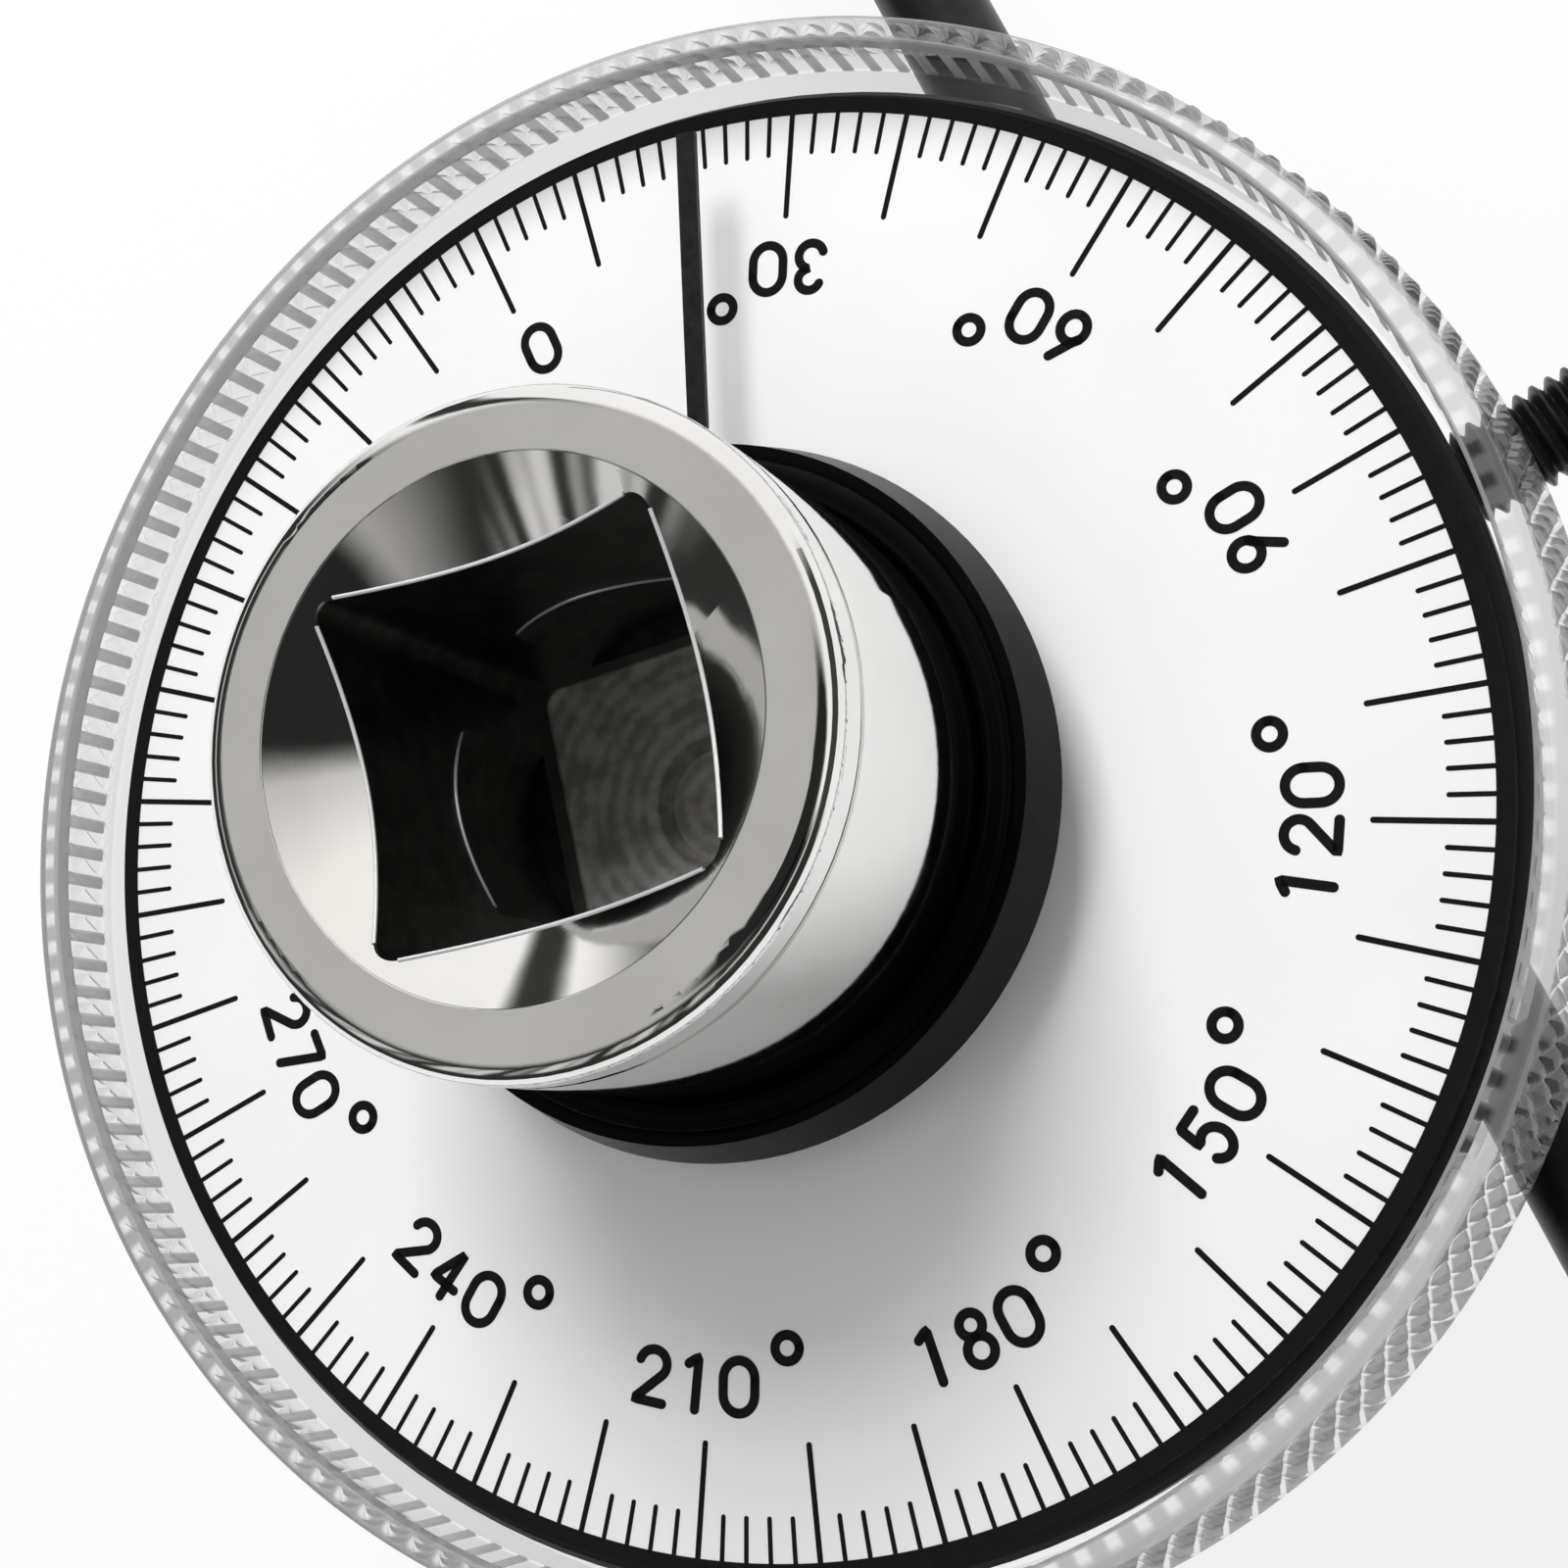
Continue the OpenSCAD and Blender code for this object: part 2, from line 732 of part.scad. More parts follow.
module clamp_pad() {
    color("goldenrod") at_clamp() rod_x(pad_r, pad_x, pad_x + pad_t);
}

module clamp_stud() {
    color("#1a1a1a")
        at_clamp() {
            translate([stud_x, 0, 0]) rotate([0, 90, 0])
                cylinder(r1 = screw_r - stud_chamfer, r2 = screw_r, h = stud_chamfer);
            rod_x(screw_r, stud_x + stud_chamfer, knob_reach + stud_in_knob);
        }
}

// Fluted thumb knob with a short hub towards the housing
module clamp_knob() {
    head_x = knob_reach + knob_hub_len;
    end_x = knob_reach + knob_len;
    color("#202020")
        at_clamp()
            difference() {
                union() {
                    rod_x(knob_hub_r, knob_reach, head_x + join);
                    rod_x(knob_r, head_x, end_x - knob_dome);
                    translate([end_x - knob_dome, 0, 0]) rotate([0, 90, 0])
                        cylinder(r1 = knob_r, r2 = knob_r - 2 * knob_dome, h = knob_dome);
                }
                rod_x(screw_r + seat_fit, knob_reach - cut, knob_reach + stud_in_knob);
                for (k = [0:knob_flutes - 1])
                    rotate([k * 360 / knob_flutes, 0, 0])
                        translate([0, 0, knob_r + knob_flute_r * 0.45])
                            rod_x(knob_flute_r, head_x - cut, end_x + cut);
            }
}

drive_spindle();
detent_spring();
detent_ball();
thrust_washer();
disc_spring();
rear_washer();
retaining_ring();
base_housing();
bearing_bush();
dial_plate();
rear_cover();
rear_screws();
thread_insert();
bezel_ring();
lens();
pointer();
collar();
friction_ring();
stop_rod();
rod_end_caps();
clamp_pad();
clamp_stud();
clamp_knob();
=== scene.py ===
"""Looks of the torque angle gauge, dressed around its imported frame.

The drive axis is Z, with the socket mouth up. Dial zero points along +Y and the
scale rises clockwise, so a dial angle a lies along (sin a, cos a).
"""

import json
import math

import bmesh
import bpy
import numpy as np
from mathutils import Matrix, Vector


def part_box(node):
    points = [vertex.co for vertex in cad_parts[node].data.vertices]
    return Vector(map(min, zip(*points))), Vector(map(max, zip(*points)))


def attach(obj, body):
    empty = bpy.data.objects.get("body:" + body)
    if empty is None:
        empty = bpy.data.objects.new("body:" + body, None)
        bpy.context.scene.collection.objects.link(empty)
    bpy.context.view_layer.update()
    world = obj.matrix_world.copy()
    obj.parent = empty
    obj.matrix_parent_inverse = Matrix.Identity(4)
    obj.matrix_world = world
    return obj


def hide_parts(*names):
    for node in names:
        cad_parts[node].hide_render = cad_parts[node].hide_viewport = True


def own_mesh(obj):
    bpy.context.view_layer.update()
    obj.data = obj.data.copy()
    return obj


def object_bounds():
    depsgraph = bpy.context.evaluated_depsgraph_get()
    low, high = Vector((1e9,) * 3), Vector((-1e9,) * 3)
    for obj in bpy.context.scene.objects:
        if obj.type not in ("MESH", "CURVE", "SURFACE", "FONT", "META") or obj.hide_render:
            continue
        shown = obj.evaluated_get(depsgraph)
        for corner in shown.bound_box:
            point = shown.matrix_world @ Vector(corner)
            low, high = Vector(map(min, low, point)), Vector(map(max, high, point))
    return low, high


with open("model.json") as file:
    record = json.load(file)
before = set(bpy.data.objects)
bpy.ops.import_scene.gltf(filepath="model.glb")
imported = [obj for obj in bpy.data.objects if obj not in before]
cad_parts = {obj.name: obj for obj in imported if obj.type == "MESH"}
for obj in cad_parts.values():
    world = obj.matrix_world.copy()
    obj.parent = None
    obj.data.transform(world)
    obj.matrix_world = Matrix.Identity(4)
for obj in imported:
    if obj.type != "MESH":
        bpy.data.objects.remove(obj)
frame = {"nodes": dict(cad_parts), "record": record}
cad_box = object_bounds()
nodes = frame["nodes"]

MM = 0.001
FULL_TURN = 2 * math.pi


# Places taken from the frame, with the sizes inside a solid that its box doesn't give

dial_low, dial_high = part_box("dial_plate")
DIAL_TOP, DIAL_R = dial_high[2], max(-dial_low[0], dial_high[0])

# Clear ring: its bore, the two ends of its flank, the flutes of its bore, its knurl
# and the dial angle on whose side its front edge gets most frost, as painted shade
RING_LOW, RING_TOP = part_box("bezel_ring")[0][2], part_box("bezel_ring")[1][2]
RING_BORE_R, RING_FRONT_R, RING_REAR_R = 30.7 * MM, 31.95 * MM, 32.9 * MM
FLANK_TOP, FLANK_LOW = RING_TOP - 0.9 * MM, RING_LOW + 0.35 * MM
RING_FLUTE_LOW, RING_FLUTE_TOP = DIAL_TOP + 0.3 * MM, DIAL_TOP + 2.7 * MM
KNURL_TEETH, KNURL_ROWS = 156, 4
SHADED_FRONT_SIDE = 245

# Socket: its square hole, from the axis to a flat and as turned from dial zero,
# and the mouth radius and half angle of its lead-in cone
SOCKET_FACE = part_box("drive_spindle")[1][2]
SOCKET_FLOOR = SOCKET_FACE - 18.1 * MM
SOCKET_FLAT, SOCKET_TURN = 6.4 * MM, 13
LEAD_R, LEAD_ANGLE = 9.3 * MM, math.radians(55)
REAR_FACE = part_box("rear_cover")[0][2]


def dial_direction(angle):
    """Unit vectors in the dial's plane at dial angles in degrees: (sin a, cos a)."""
    a = np.radians(np.asarray(angle, float))
    return np.stack([np.sin(a), np.cos(a)], axis=-1)


# Shader maths

class Wire:
    """A value in a node tree. Arithmetic on it adds Math nodes to that tree."""

    def __init__(self, net, socket):
        self.net = net
        self.socket = socket

    def math(self, operation, *others):
        """A Math node's result, with this value first."""
        return self.net.math(operation, self, *others)

    def __add__(self, other):
        return self.math("ADD", other)

    def __radd__(self, other):
        return self.net.math("ADD", other, self)

    def __sub__(self, other):
        return self.math("SUBTRACT", other)

    def __rsub__(self, other):
        return self.net.math("SUBTRACT", other, self)

    def __mul__(self, other):
        return self.math("MULTIPLY", other)

    def __rmul__(self, other):
        return self.net.math("MULTIPLY", other, self)

    def __truediv__(self, other):
        return self.math("DIVIDE", other)

    def __rtruediv__(self, other):
        return self.net.math("DIVIDE", other, self)

    def __pow__(self, other):
        return self.math("POWER", other)

    def off_whole(self):
        """Distance from the nearest whole number."""
        part = self.math("FRACT")
        return part.math("MINIMUM", 1 - part)

    def step(self, low, high):
        """Smooth step from 0 at low to 1 at high."""
        return self.net.node(
            "ShaderNodeMapRange",
            {"interpolation_type": "SMOOTHSTEP"},
            {"Value": self, "From Min": low, "From Max": high},
        )

    def band(self, rise, fall):
        """1 between two smooth steps, up and down, each given by its low and high end."""
        return self.step(*rise) * (1 - self.step(*fall))


class Net:
    """One node tree: a finish, or the studio around the part."""

    def __init__(self, owner):
        owner.use_nodes = True
        self.tree = owner.node_tree
        self.tree.nodes.clear()

    def node(self, kind, settings=None, values=None, out=0):
        """Adds a node: its settings come first, then the values or links of its sockets."""
        made = self.tree.nodes.new(kind)
        for key, value in (settings or {}).items():
            if key == "stops":
                stops = made.color_ramp.elements
                while len(stops) < len(value):
                    stops.new(0.5)
                for stop, (place, colour) in zip(stops, value):
                    stop.position = place
                    stop.color = (*colour, 1)
            else:
                setattr(made, key, value)
        for key, value in (values or {}).items():
            socket = made.inputs[key]
            if isinstance(value, Wire):
                self.tree.links.new(value.socket, socket)
            else:
                socket.default_value = value
        return Wire(self, made.outputs[out]) if made.outputs else None

    def math(self, operation, *values):
        """Result of a Math node on values."""
        return self.node("ShaderNodeMath", {"operation": operation}, dict(enumerate(values)))

    def place(self, scale=(1, 1, 1), turn=(0, 0, 0), shift=(0, 0, 0)):
        """Object coordinates, scaled, turned and shifted."""
        point = self.node("ShaderNodeTexCoord", out="Object")
        return self.node(
            "ShaderNodeMapping", None,
            {"Vector": point, "Scale": scale, "Rotation": turn, "Location": shift},
        )

    def parts(self, vector):
        """The three numbers of a vector."""
        split = self.node("ShaderNodeSeparateXYZ", None, {"Vector": vector})
        outputs = split.socket.node.outputs
        return [Wire(self, outputs[k]) for k in range(3)]

    def about_axis(self):
        """Object coordinates x, y, z and the distance from the drive axis."""
        x, y, z = self.parts(self.place())
        return x, y, z, (x * x + y * y) ** 0.5

    def noise(self, vector, scale, detail=3.0, roughness=0.55):
        """Fractal noise between 0 and 1 at a number of grains to the metre."""
        return self.node(
            "ShaderNodeTexNoise", None,
            {"Vector": vector, "Scale": scale, "Detail": detail, "Roughness": roughness},
        )

    def ramp(self, value, *stops):
        """Colour that follows a value through stops."""
        return self.node("ShaderNodeValToRGB", {"stops": stops}, {"Fac": value})

    def mix(self, share, first, second):
        """Colour between two, by the second one's share."""
        return self.node(
            "ShaderNodeMix", {"data_type": "RGBA"}, {"Factor": share, 6: first, 7: second}, out=2
        )

    def bump(self, height, distance, strength=1.0):
        """Normal that follows a height, with its full height given in metres."""
        return self.node(
            "ShaderNodeBump", None,
            {"Height": height, "Distance": distance, "Strength": strength},
        )


def grey(level, warm=0.0):
    """A grey, a little warmer where asked."""
    return (level * (1 + warm), level, level * (1 - 2 * warm))


def finish(name, look):
    """Makes a material from a look: the sockets of one shader, or a shader of its own."""
    material = bpy.data.materials.new(name)
    net = Net(material)
    shader = look(net)
    if isinstance(shader, dict):
        shader = net.node("ShaderNodeBsdfPrincipled", None, shader)
    net.node("ShaderNodeOutputMaterial", None, {"Surface": shader})
    return material


# Finishes

def chrome_plate(net):
    """Polished plate outside and on the lead-in cone, dull bare steel inside the square hole,
    darkened there to near black as painted shade of the deep hole.

    A point is inside where it lies under the cone z = face - (mouth radius - r) / tan(half angle).
    The floor of the hole is bare and matt, and the male square behind the housing is satin.
    """
    *_, z, radius = net.about_axis()
    under = SOCKET_FACE - (LEAD_R - radius) / math.tan(LEAD_ANGLE) - z
    inner = 1 - radius.step(LEAD_R - 0.4 * MM, LEAD_R - 0.3 * MM)
    above = z.step(SOCKET_FLOOR - 1.0 * MM, SOCKET_FLOOR - 0.5 * MM)
    inside = under.step(0.02 * MM, 0.25 * MM) * inner * above
    floor = inside * (1 - z.step(SOCKET_FLOOR + 0.1 * MM, SOCKET_FLOOR + 0.4 * MM))
    smear = net.noise(net.place(), 180, 4)
    marks = net.noise(net.place((1, 1, 9)), 2600, 2)
    grime = net.noise(net.place(), 900, 5)
    rings = (radius * 9000).math("SINE")
    tail = 1 - z.step(REAR_FACE - 0.6 * MM, REAR_FACE)
    plate = net.ramp(smear, (0.3, grey(0.80, 0.010)), (0.7, grey(0.87, 0.006)))
    # Inside the hole: dull bare steel, its near-black colour partly painted shade of the deep hole
    bare_and_shaded = net.ramp(grime, (0.35, grey(0.05, 0.02)), (0.7, grey(0.11, 0.03)))
    satin = net.ramp(smear, (0.3, grey(0.42, 0.012)), (0.7, grey(0.52, 0.010)))
    matt = net.ramp(grime + 0.06 * rings, (0.38, grey(0.42, 0.03)), (0.62, grey(0.74, 0.03)))
    return {
        "Base Color": net.mix(floor, net.mix(inside, net.mix(tail, plate, satin), bare_and_shaded), matt),
        "Metallic": 1.0 - 0.75 * floor,
        "Roughness": (
            0.03 + 0.04 * smear.step(0.45, 0.8) + 0.015 * marks
            + inside * (0.2 + 0.25 * grime) + 0.24 * tail
        ),
        "Normal": net.bump(marks, 0.3e-6),
    }


def edge_chrome(net):
    """Rubbed edge of the plate, pale and partly diffuse: a painted glint that the key lamp lights.
    """
    rub = net.noise(net.place(), 2500, 3)
    return {
        "Base Color": net.ramp(rub, (0.3, grey(0.80)), (0.7, grey(0.95))),
        "Metallic": 0.35 + 0.2 * rub,
        "Roughness": 0.12 + 0.15 * rub,
    }


def bright_zinc(net):
    """Zinc plate: pale, a little blotched, with fine scratches."""
    blotch = net.noise(net.place(), 700, 5)
    scratch = net.noise(net.place((12, 1, 1), (0.3, 0.2, 0.7)), 900, 3)
    return {
        "Base Color": net.ramp(blotch, (0.3, grey(0.52, 0.01)), (0.7, grey(0.70, 0.015))),
        "Metallic": 1.0,
        "Roughness": 0.22 + 0.2 * blotch,
        "Normal": net.bump(scratch, 3e-6),
    }


def spring_plate(net):
    """Hardened spring steel: dark, with straw and blue tints from the heat."""
    tint = net.noise(net.place(), 260, 3)
    grain = net.noise(net.place((1, 1, 6)), 3000, 2)
    return {
        "Base Color": net.ramp(
            tint, (0.3, (0.26, 0.28, 0.33)), (0.55, (0.40, 0.40, 0.41)), (0.75, (0.46, 0.40, 0.31))
        ),
        "Metallic": 1.0,
        "Roughness": 0.26 + 0.14 * grain,
        "Normal": net.bump(grain, 2e-6),
    }


def black_oxide(net):
    """Oiled black oxide: nearly black, with rubbed places a little paler."""
    rub = net.noise(net.place(), 420, 5)
    grain = net.noise(net.place((1, 4, 1)), 2400, 2)
    return {
        "Base Color": net.ramp(rub, (0.45, grey(0.005)), (0.75, grey(0.018, 0.02))),
        "Specular IOR Level": 0.3,
        "Roughness": 0.26 + 0.16 * rub,
        "Normal": net.bump(grain, 4e-6),
    }


def turned_bronze(net):
    """Bronze with the fine rings that turning leaves around the drive axis."""
    *_, z, radius = net.about_axis()
    rings = ((radius + z) * 26000).math("SINE")
    tone = net.noise(net.place(), 380, 4)
    return {
        "Base Color": net.ramp(tone, (0.3, (0.52, 0.33, 0.13)), (0.7, (0.68, 0.47, 0.22))),
        "Metallic": 1.0,
        "Roughness": 0.25 + 0.2 * tone,
        "Normal": net.bump(rings, 1.5e-6),
    }


def moulded_black(net):
    """Moulded black plastic: satin, with a fine even grain and slight clouds."""
    grain = net.noise(net.place(), 7000, 2)
    cloud = net.noise(net.place(), 90, 3)
    return {
        "Base Color": net.ramp(cloud, (0.3, grey(0.003)), (0.7, grey(0.006))),
        "Specular IOR Level": 0.22,
        "Roughness": 0.32 + 0.12 * cloud + 0.05 * grain,
        "Normal": net.bump(grain, 6e-6),
    }


def collar_black(net):
    """Smooth black plastic of the cover's hub, glossier than the housing."""
    cloud = net.noise(net.place(), 160, 3)
    grain = net.noise(net.place((1, 1, 5)), 2600, 2)
    return {
        "Base Color": net.ramp(cloud, (0.3, grey(0.0008)), (0.7, grey(0.002))),
        "Specular IOR Level": 0.05,
        "Roughness": 0.22 + 0.14 * cloud,
        "Normal": net.bump(grain, 3e-6),
    }


def matt_rubber(net):
    """Black rubber with a dull bloom."""
    bloom = net.noise(net.place(), 500, 5)
    grain = net.noise(net.place(), 5200, 3)
    return {
        "Base Color": net.ramp(bloom, (0.35, grey(0.012)), (0.75, grey(0.028))),
        "Roughness": 0.62 + 0.2 * bloom,
        "Normal": net.bump(grain, 12e-6),
    }


def dial_white(net):
    """Matt white face with a breath of mottle and a few specks of dust."""
    mottle = net.noise(net.place(), 120, 2)
    speck = net.noise(net.place(), 330, 1).step(0.86, 0.9)
    grain = net.noise(net.place(), 9000, 1)
    base = net.ramp(mottle, (0.3, grey(0.90)), (0.7, grey(0.93)))
    return {
        "Base Color": net.mix(speck, base, (0.5, 0.5, 0.5, 1)),
        "Roughness": 0.42 + 0.1 * mottle,
        "Normal": net.bump(grain, 1.5e-6),
    }


def printed_black(net):
    """Printed ink: black, with slightly uneven coverage."""
    cover = net.noise(net.place(), 4000, 3)
    return {
        "Base Color": net.ramp(cover, (0.3, grey(0.002)), (0.8, grey(0.006))),
        "Specular IOR Level": 0.1,
        "Roughness": 0.5 + 0.2 * cover,
    }


def pointer_black(net):
    """Filled line of the pointer: dark grey fill with darker flecks."""
    cover = net.noise(net.place(), 2600, 3)
    return {
        "Base Color": net.ramp(cover, (0.3, grey(0.006)), (0.8, grey(0.02))),
        "Specular IOR Level": 0.2,
        "Roughness": 0.38 + 0.2 * cover,
    }


def clear_ring(net):
    """Clear moulded acrylic, frosted on its front edge, its diamonds and between its bore's flutes.

    Tooth is the way around in teeth and row the way down the flank, so a groove lies
    where tooth + row / 2 or tooth - row / 2 is whole. The front edge has a clear pane
    over each flute. Rays pass straight through, so the frost also paints light and shade
    that thick acrylic would bend: grey ribs between the bore's flutes, a front edge
    greyer on one side, and diamonds matt on their outer face only.
    """
    x, y, z, radius = net.about_axis()
    tooth = y.math("ARCTAN2", x) * (KNURL_TEETH / FULL_TURN)
    row = (FLANK_TOP - z) * (KNURL_ROWS / (FLANK_TOP - FLANK_LOW))
    bore = 1 - radius.step(RING_BORE_R + 0.12 * MM, RING_BORE_R + 0.2 * MM)
    soft = 0.05 * MM
    flute = z.step(RING_FLUTE_LOW - soft, RING_FLUTE_LOW + soft)
    lip = z.step(RING_FLUTE_TOP - soft, RING_FLUTE_TOP + soft)
    front = z.step(FLANK_TOP, FLANK_TOP + 0.1 * MM)
    one, other = (tooth + 0.5 * row).off_whole(), (tooth - 0.5 * row).off_whole()
    flank = (1 - bore) * (1 - front)
    outer_face = 1 - net.node("ShaderNodeNewGeometry", out="Backfacing")
    land = flank * one.math("MINIMUM", other).step(0.07, 0.13) * outer_face
    rib = 1 - tooth.off_whole().step(0.2, 0.24)
    pane = tooth.off_whole().step(0.16, 0.4) * radius.band(
        (RING_BORE_R + 0.05 * MM, RING_BORE_R + 0.25 * MM),
        (RING_BORE_R + 0.5 * MM, RING_BORE_R + 0.9 * MM),
    )
    # Painted shade: the front edge gets more grey frost towards one dial angle
    east, north = dial_direction(SHADED_FRONT_SIDE).tolist()
    shaded_front = 0.5 + 0.5 * (x * east + y * north) / radius
    haze = net.noise(net.place(), 900, 4)
    milky = net.ramp(haze, (0.3, grey(0.40)), (0.7, grey(0.50)))
    ripple = net.noise(net.place((1, 1, 3)), 500, 2)
    wavy = net.bump(ripple, 4e-6)
    clear = net.node("ShaderNodeMixShader", None, {
        0: net.node("ShaderNodeLayerWeight", None, {"Blend": 0.1, "Normal": wavy}, out="Facing"),
        1: net.node("ShaderNodeBsdfTransparent", None, {"Color": (0.985, 0.99, 0.99, 1)}),
        2: net.node("ShaderNodeBsdfGlossy", None, {"Roughness": 0.05, "Normal": wavy}),
    })
    frost = net.node("ShaderNodeBsdfPrincipled", None, {
        "Base Color": net.mix(land, net.mix(front, milky, (0.3, 0.3, 0.3, 1)), (0.1, 0.1, 0.1, 1)),
        "Roughness": 0.35 + 0.2 * haze,
        "Normal": wavy,
    })
    # Painted light and shade of refraction: grey frosted ribs between clear panes in the bore, and
    # grey frosted diamonds
    inner = bore * (0.72 * flute * (1 - lip) * rib + 0.8 * lip)
    edge = front * (1 - bore) * (0.3 + 0.5 * shaded_front) * (1 - 0.88 * pane)
    share = 0.015 + inner + edge + 0.03 * flank + 0.6 * land
    return net.node("ShaderNodeMixShader", None, {0: share, 1: clear, 2: frost})


def clear_sheet(net):
    """Clear lens over the dial: shows as a faint gloss with a few smears."""
    smear = net.noise(net.place(), 140, 2)
    return {
        "Base Color": (0.12, 0.12, 0.12, 1),
        "Roughness": 0.03 + 0.08 * smear.step(0.5, 0.8),
        "IOR": 1.49,
        "Alpha": 0.012 + 0.012 * smear,
    }


FINISHES = {
    "chrome_steel": finish("chrome_plate", chrome_plate),
    "bright_steel": finish("bright_zinc", bright_zinc),
    "spring_steel": finish("spring_plate", spring_plate),
    "black_steel": finish("black_oxide", black_oxide),
    "bronze": finish("turned_bronze", turned_bronze),
    "black_plastic": finish("moulded_black", moulded_black),
    "white_dial": finish("dial_white", dial_white),
    "clear_acrylic": finish("clear_ring", clear_ring),
    "black_ink": finish("printed_black", printed_black),
    "black_rubber": finish("matt_rubber", matt_rubber),
}
SPECIAL = {
    "lens": finish("clear_sheet", clear_sheet),
    "collar": finish("collar_black", collar_black),
    "pointer": finish("pointer_black", pointer_black),
}
# Pale finish of the worn edge beads, a painted glint
EDGE_GLINT_PAINT = finish("edge_chrome", edge_chrome)
for part in frame["record"]["subparts"]:
    mesh = nodes[part["node"]].data
    mesh.materials.clear()
    mesh.materials.append(SPECIAL.get(part["node"], FINISHES[part["material_slot"]]))

# The lens is nearly all clear, so shadow and diffuse rays leave it out, which saves time
nodes["lens"].visible_shadow = nodes["lens"].visible_diffuse = False


# Meshes

def add_piece(name, points, faces, body, slot, smooth=None, material=None):
    """Puts points and faces into a closed mesh that rides a body and takes a slot's finish.

    Edges sharper than the angle smooth, in degrees, stay sharp. Without it the faces are flat.
    """
    mesh = bpy.data.meshes.new(name)
    mesh.from_pydata(np.asarray(points).reshape(-1, 3).tolist(), [], faces)
    mesh.materials.append(material or FINISHES[slot])
    if smooth is not None:
        mesh.polygons.foreach_set("use_smooth", np.ones(len(mesh.polygons), bool))
        mesh.set_sharp_from_angle(angle=math.radians(smooth))
    piece = bpy.data.objects.new(name, mesh)
    bpy.context.collection.objects.link(piece)
    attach(piece, body)
    turn_outward(mesh)
    return piece


def turn_outward(mesh):
    """Turns every face of a closed mesh outwards."""
    bm = bmesh.new()
    bm.from_mesh(mesh)
    bmesh.ops.recalc_face_normals(bm, faces=bm.faces)
    bm.to_mesh(mesh)
    bm.free()


def circle(count):
    """Angles of points set evenly around a full turn."""
    return np.linspace(0, FULL_TURN, count, endpoint=False)


def grid_faces(rows, columns, wrap_rows=False, wrap_columns=False):
    """Quads of a grid of points numbered row by row, closed along the ways that wrap."""
    i = np.arange(rows if wrap_rows else rows - 1)[:, None]
    j = np.arange(columns if wrap_columns else columns - 1)[None, :]
    ni, nj = (i + 1) % rows, (j + 1) % columns
    corners = i * columns + j, i * columns + nj, ni * columns + nj, ni * columns + j
    return np.stack(np.broadcast_arrays(*corners), axis=-1).reshape(-1, 4)


def capped(rows, columns):
    """Faces of a tube of rings of points, closed by a flat cap at each end."""
    first = np.arange(columns)[::-1].tolist()
    last = (np.arange(columns) + (rows - 1) * columns).tolist()
    return grid_faces(rows, columns, wrap_columns=True).tolist() + [first, last]


def turned(radius, height, count):
    """Points and faces of a closed section turned about the drive axis, in a number of steps."""
    turn = circle(count)[:, None]
    points = np.stack([radius * np.cos(turn), radius * np.sin(turn), height + 0 * turn], axis=-1)
    return points, grid_faces(count, len(radius), True, True).tolist()


# Print on the dial

# Ink: its height over the dial, how far it is sunk, and one stroke's height over another
INK_UP, INK_SUNK, INK_OVER = 0.015 * MM, 0.01 * MM, 0.002 * MM


def slab_faces(count, corners):
    """Faces of flat slabs: two rings of corners each, with a top, a bottom and side walls."""
    first = np.arange(count)[:, None] * 2 * corners
    k = np.arange(corners)[None, :]
    top = first + k
    bottom = first + corners + k[:, ::-1]
    n = (k + 1) % corners
    sides = np.stack([first + k, first + corners + k, first + corners + n, first + n], axis=-1)
    return top.tolist() + bottom.tolist() + sides.reshape(-1, 4).tolist()


def tick_marks():
    """Scale lines: each is a bar along a radius whose inner end is a half circle.

    A point of the outline at (t across, s along) goes to s times the line's own
    direction plus t times the direction across it.
    """
    outer_r, minor_r, major_r = 29.25 * MM, 27.3 * MM, 24.6 * MM
    minor_w, major_w = 0.19 * MM, 0.23 * MM
    angles = np.arange(0, 360, 2.0)
    major = angles % 10 == 0
    half = np.where(major, major_w, minor_w)[:, None] / 2
    inner = np.where(major, major_r, minor_r)[:, None] + half
    bend = np.linspace(math.pi, FULL_TURN, 7)[None, :]
    across = np.concatenate([half * np.cos(bend), half, -half], axis=1)
    end = np.full_like(half, outer_r)
    along = np.concatenate([inner + half * np.sin(bend), end, end], axis=1)
    out = dial_direction(angles)[:, None, :]
    side = np.stack([out[..., 1], -out[..., 0]], axis=-1)
    flat = along[..., None] * out + across[..., None] * side
    corners = across.shape[1]
    height = np.array([DIAL_TOP + INK_UP, DIAL_TOP - INK_SUNK])[None, :, None, None]
    ring = np.broadcast_to(flat[:, None], (len(angles), 2, corners, 2))
    points = np.concatenate([ring, np.broadcast_to(height, ring.shape[:3] + (1,))], axis=-1)
    add_piece("dial_ticks", points, slab_faces(len(angles), corners), "housing", "black_ink")


def arc(x, y, rx, ry, start, end, count=18):
    """Points along an ellipse's arc between two angles in degrees, from +x towards +y."""
    a = np.radians(np.linspace(start, end, count))
    return np.stack([x + rx * np.cos(a), y + ry * np.sin(a)], axis=-1)


def joined(*runs):
    """One line through several runs of points, resampled to even steps along its length."""
    step, fewest, same = 0.045, 8, 1e-6
    line = np.concatenate([np.asarray(run, float).reshape(-1, 2) for run in runs])
    keep = np.concatenate([[True], np.linalg.norm(np.diff(line, axis=0), axis=1) > same])
    line = line[keep]
    length = np.concatenate([[0], np.cumsum(np.linalg.norm(np.diff(line, axis=0), axis=1))])
    even = np.linspace(0, length[-1], max(fewest, int(length[-1] / step)))
    return np.stack([np.interp(even, length, line[:, k]) for k in range(2)], axis=-1)


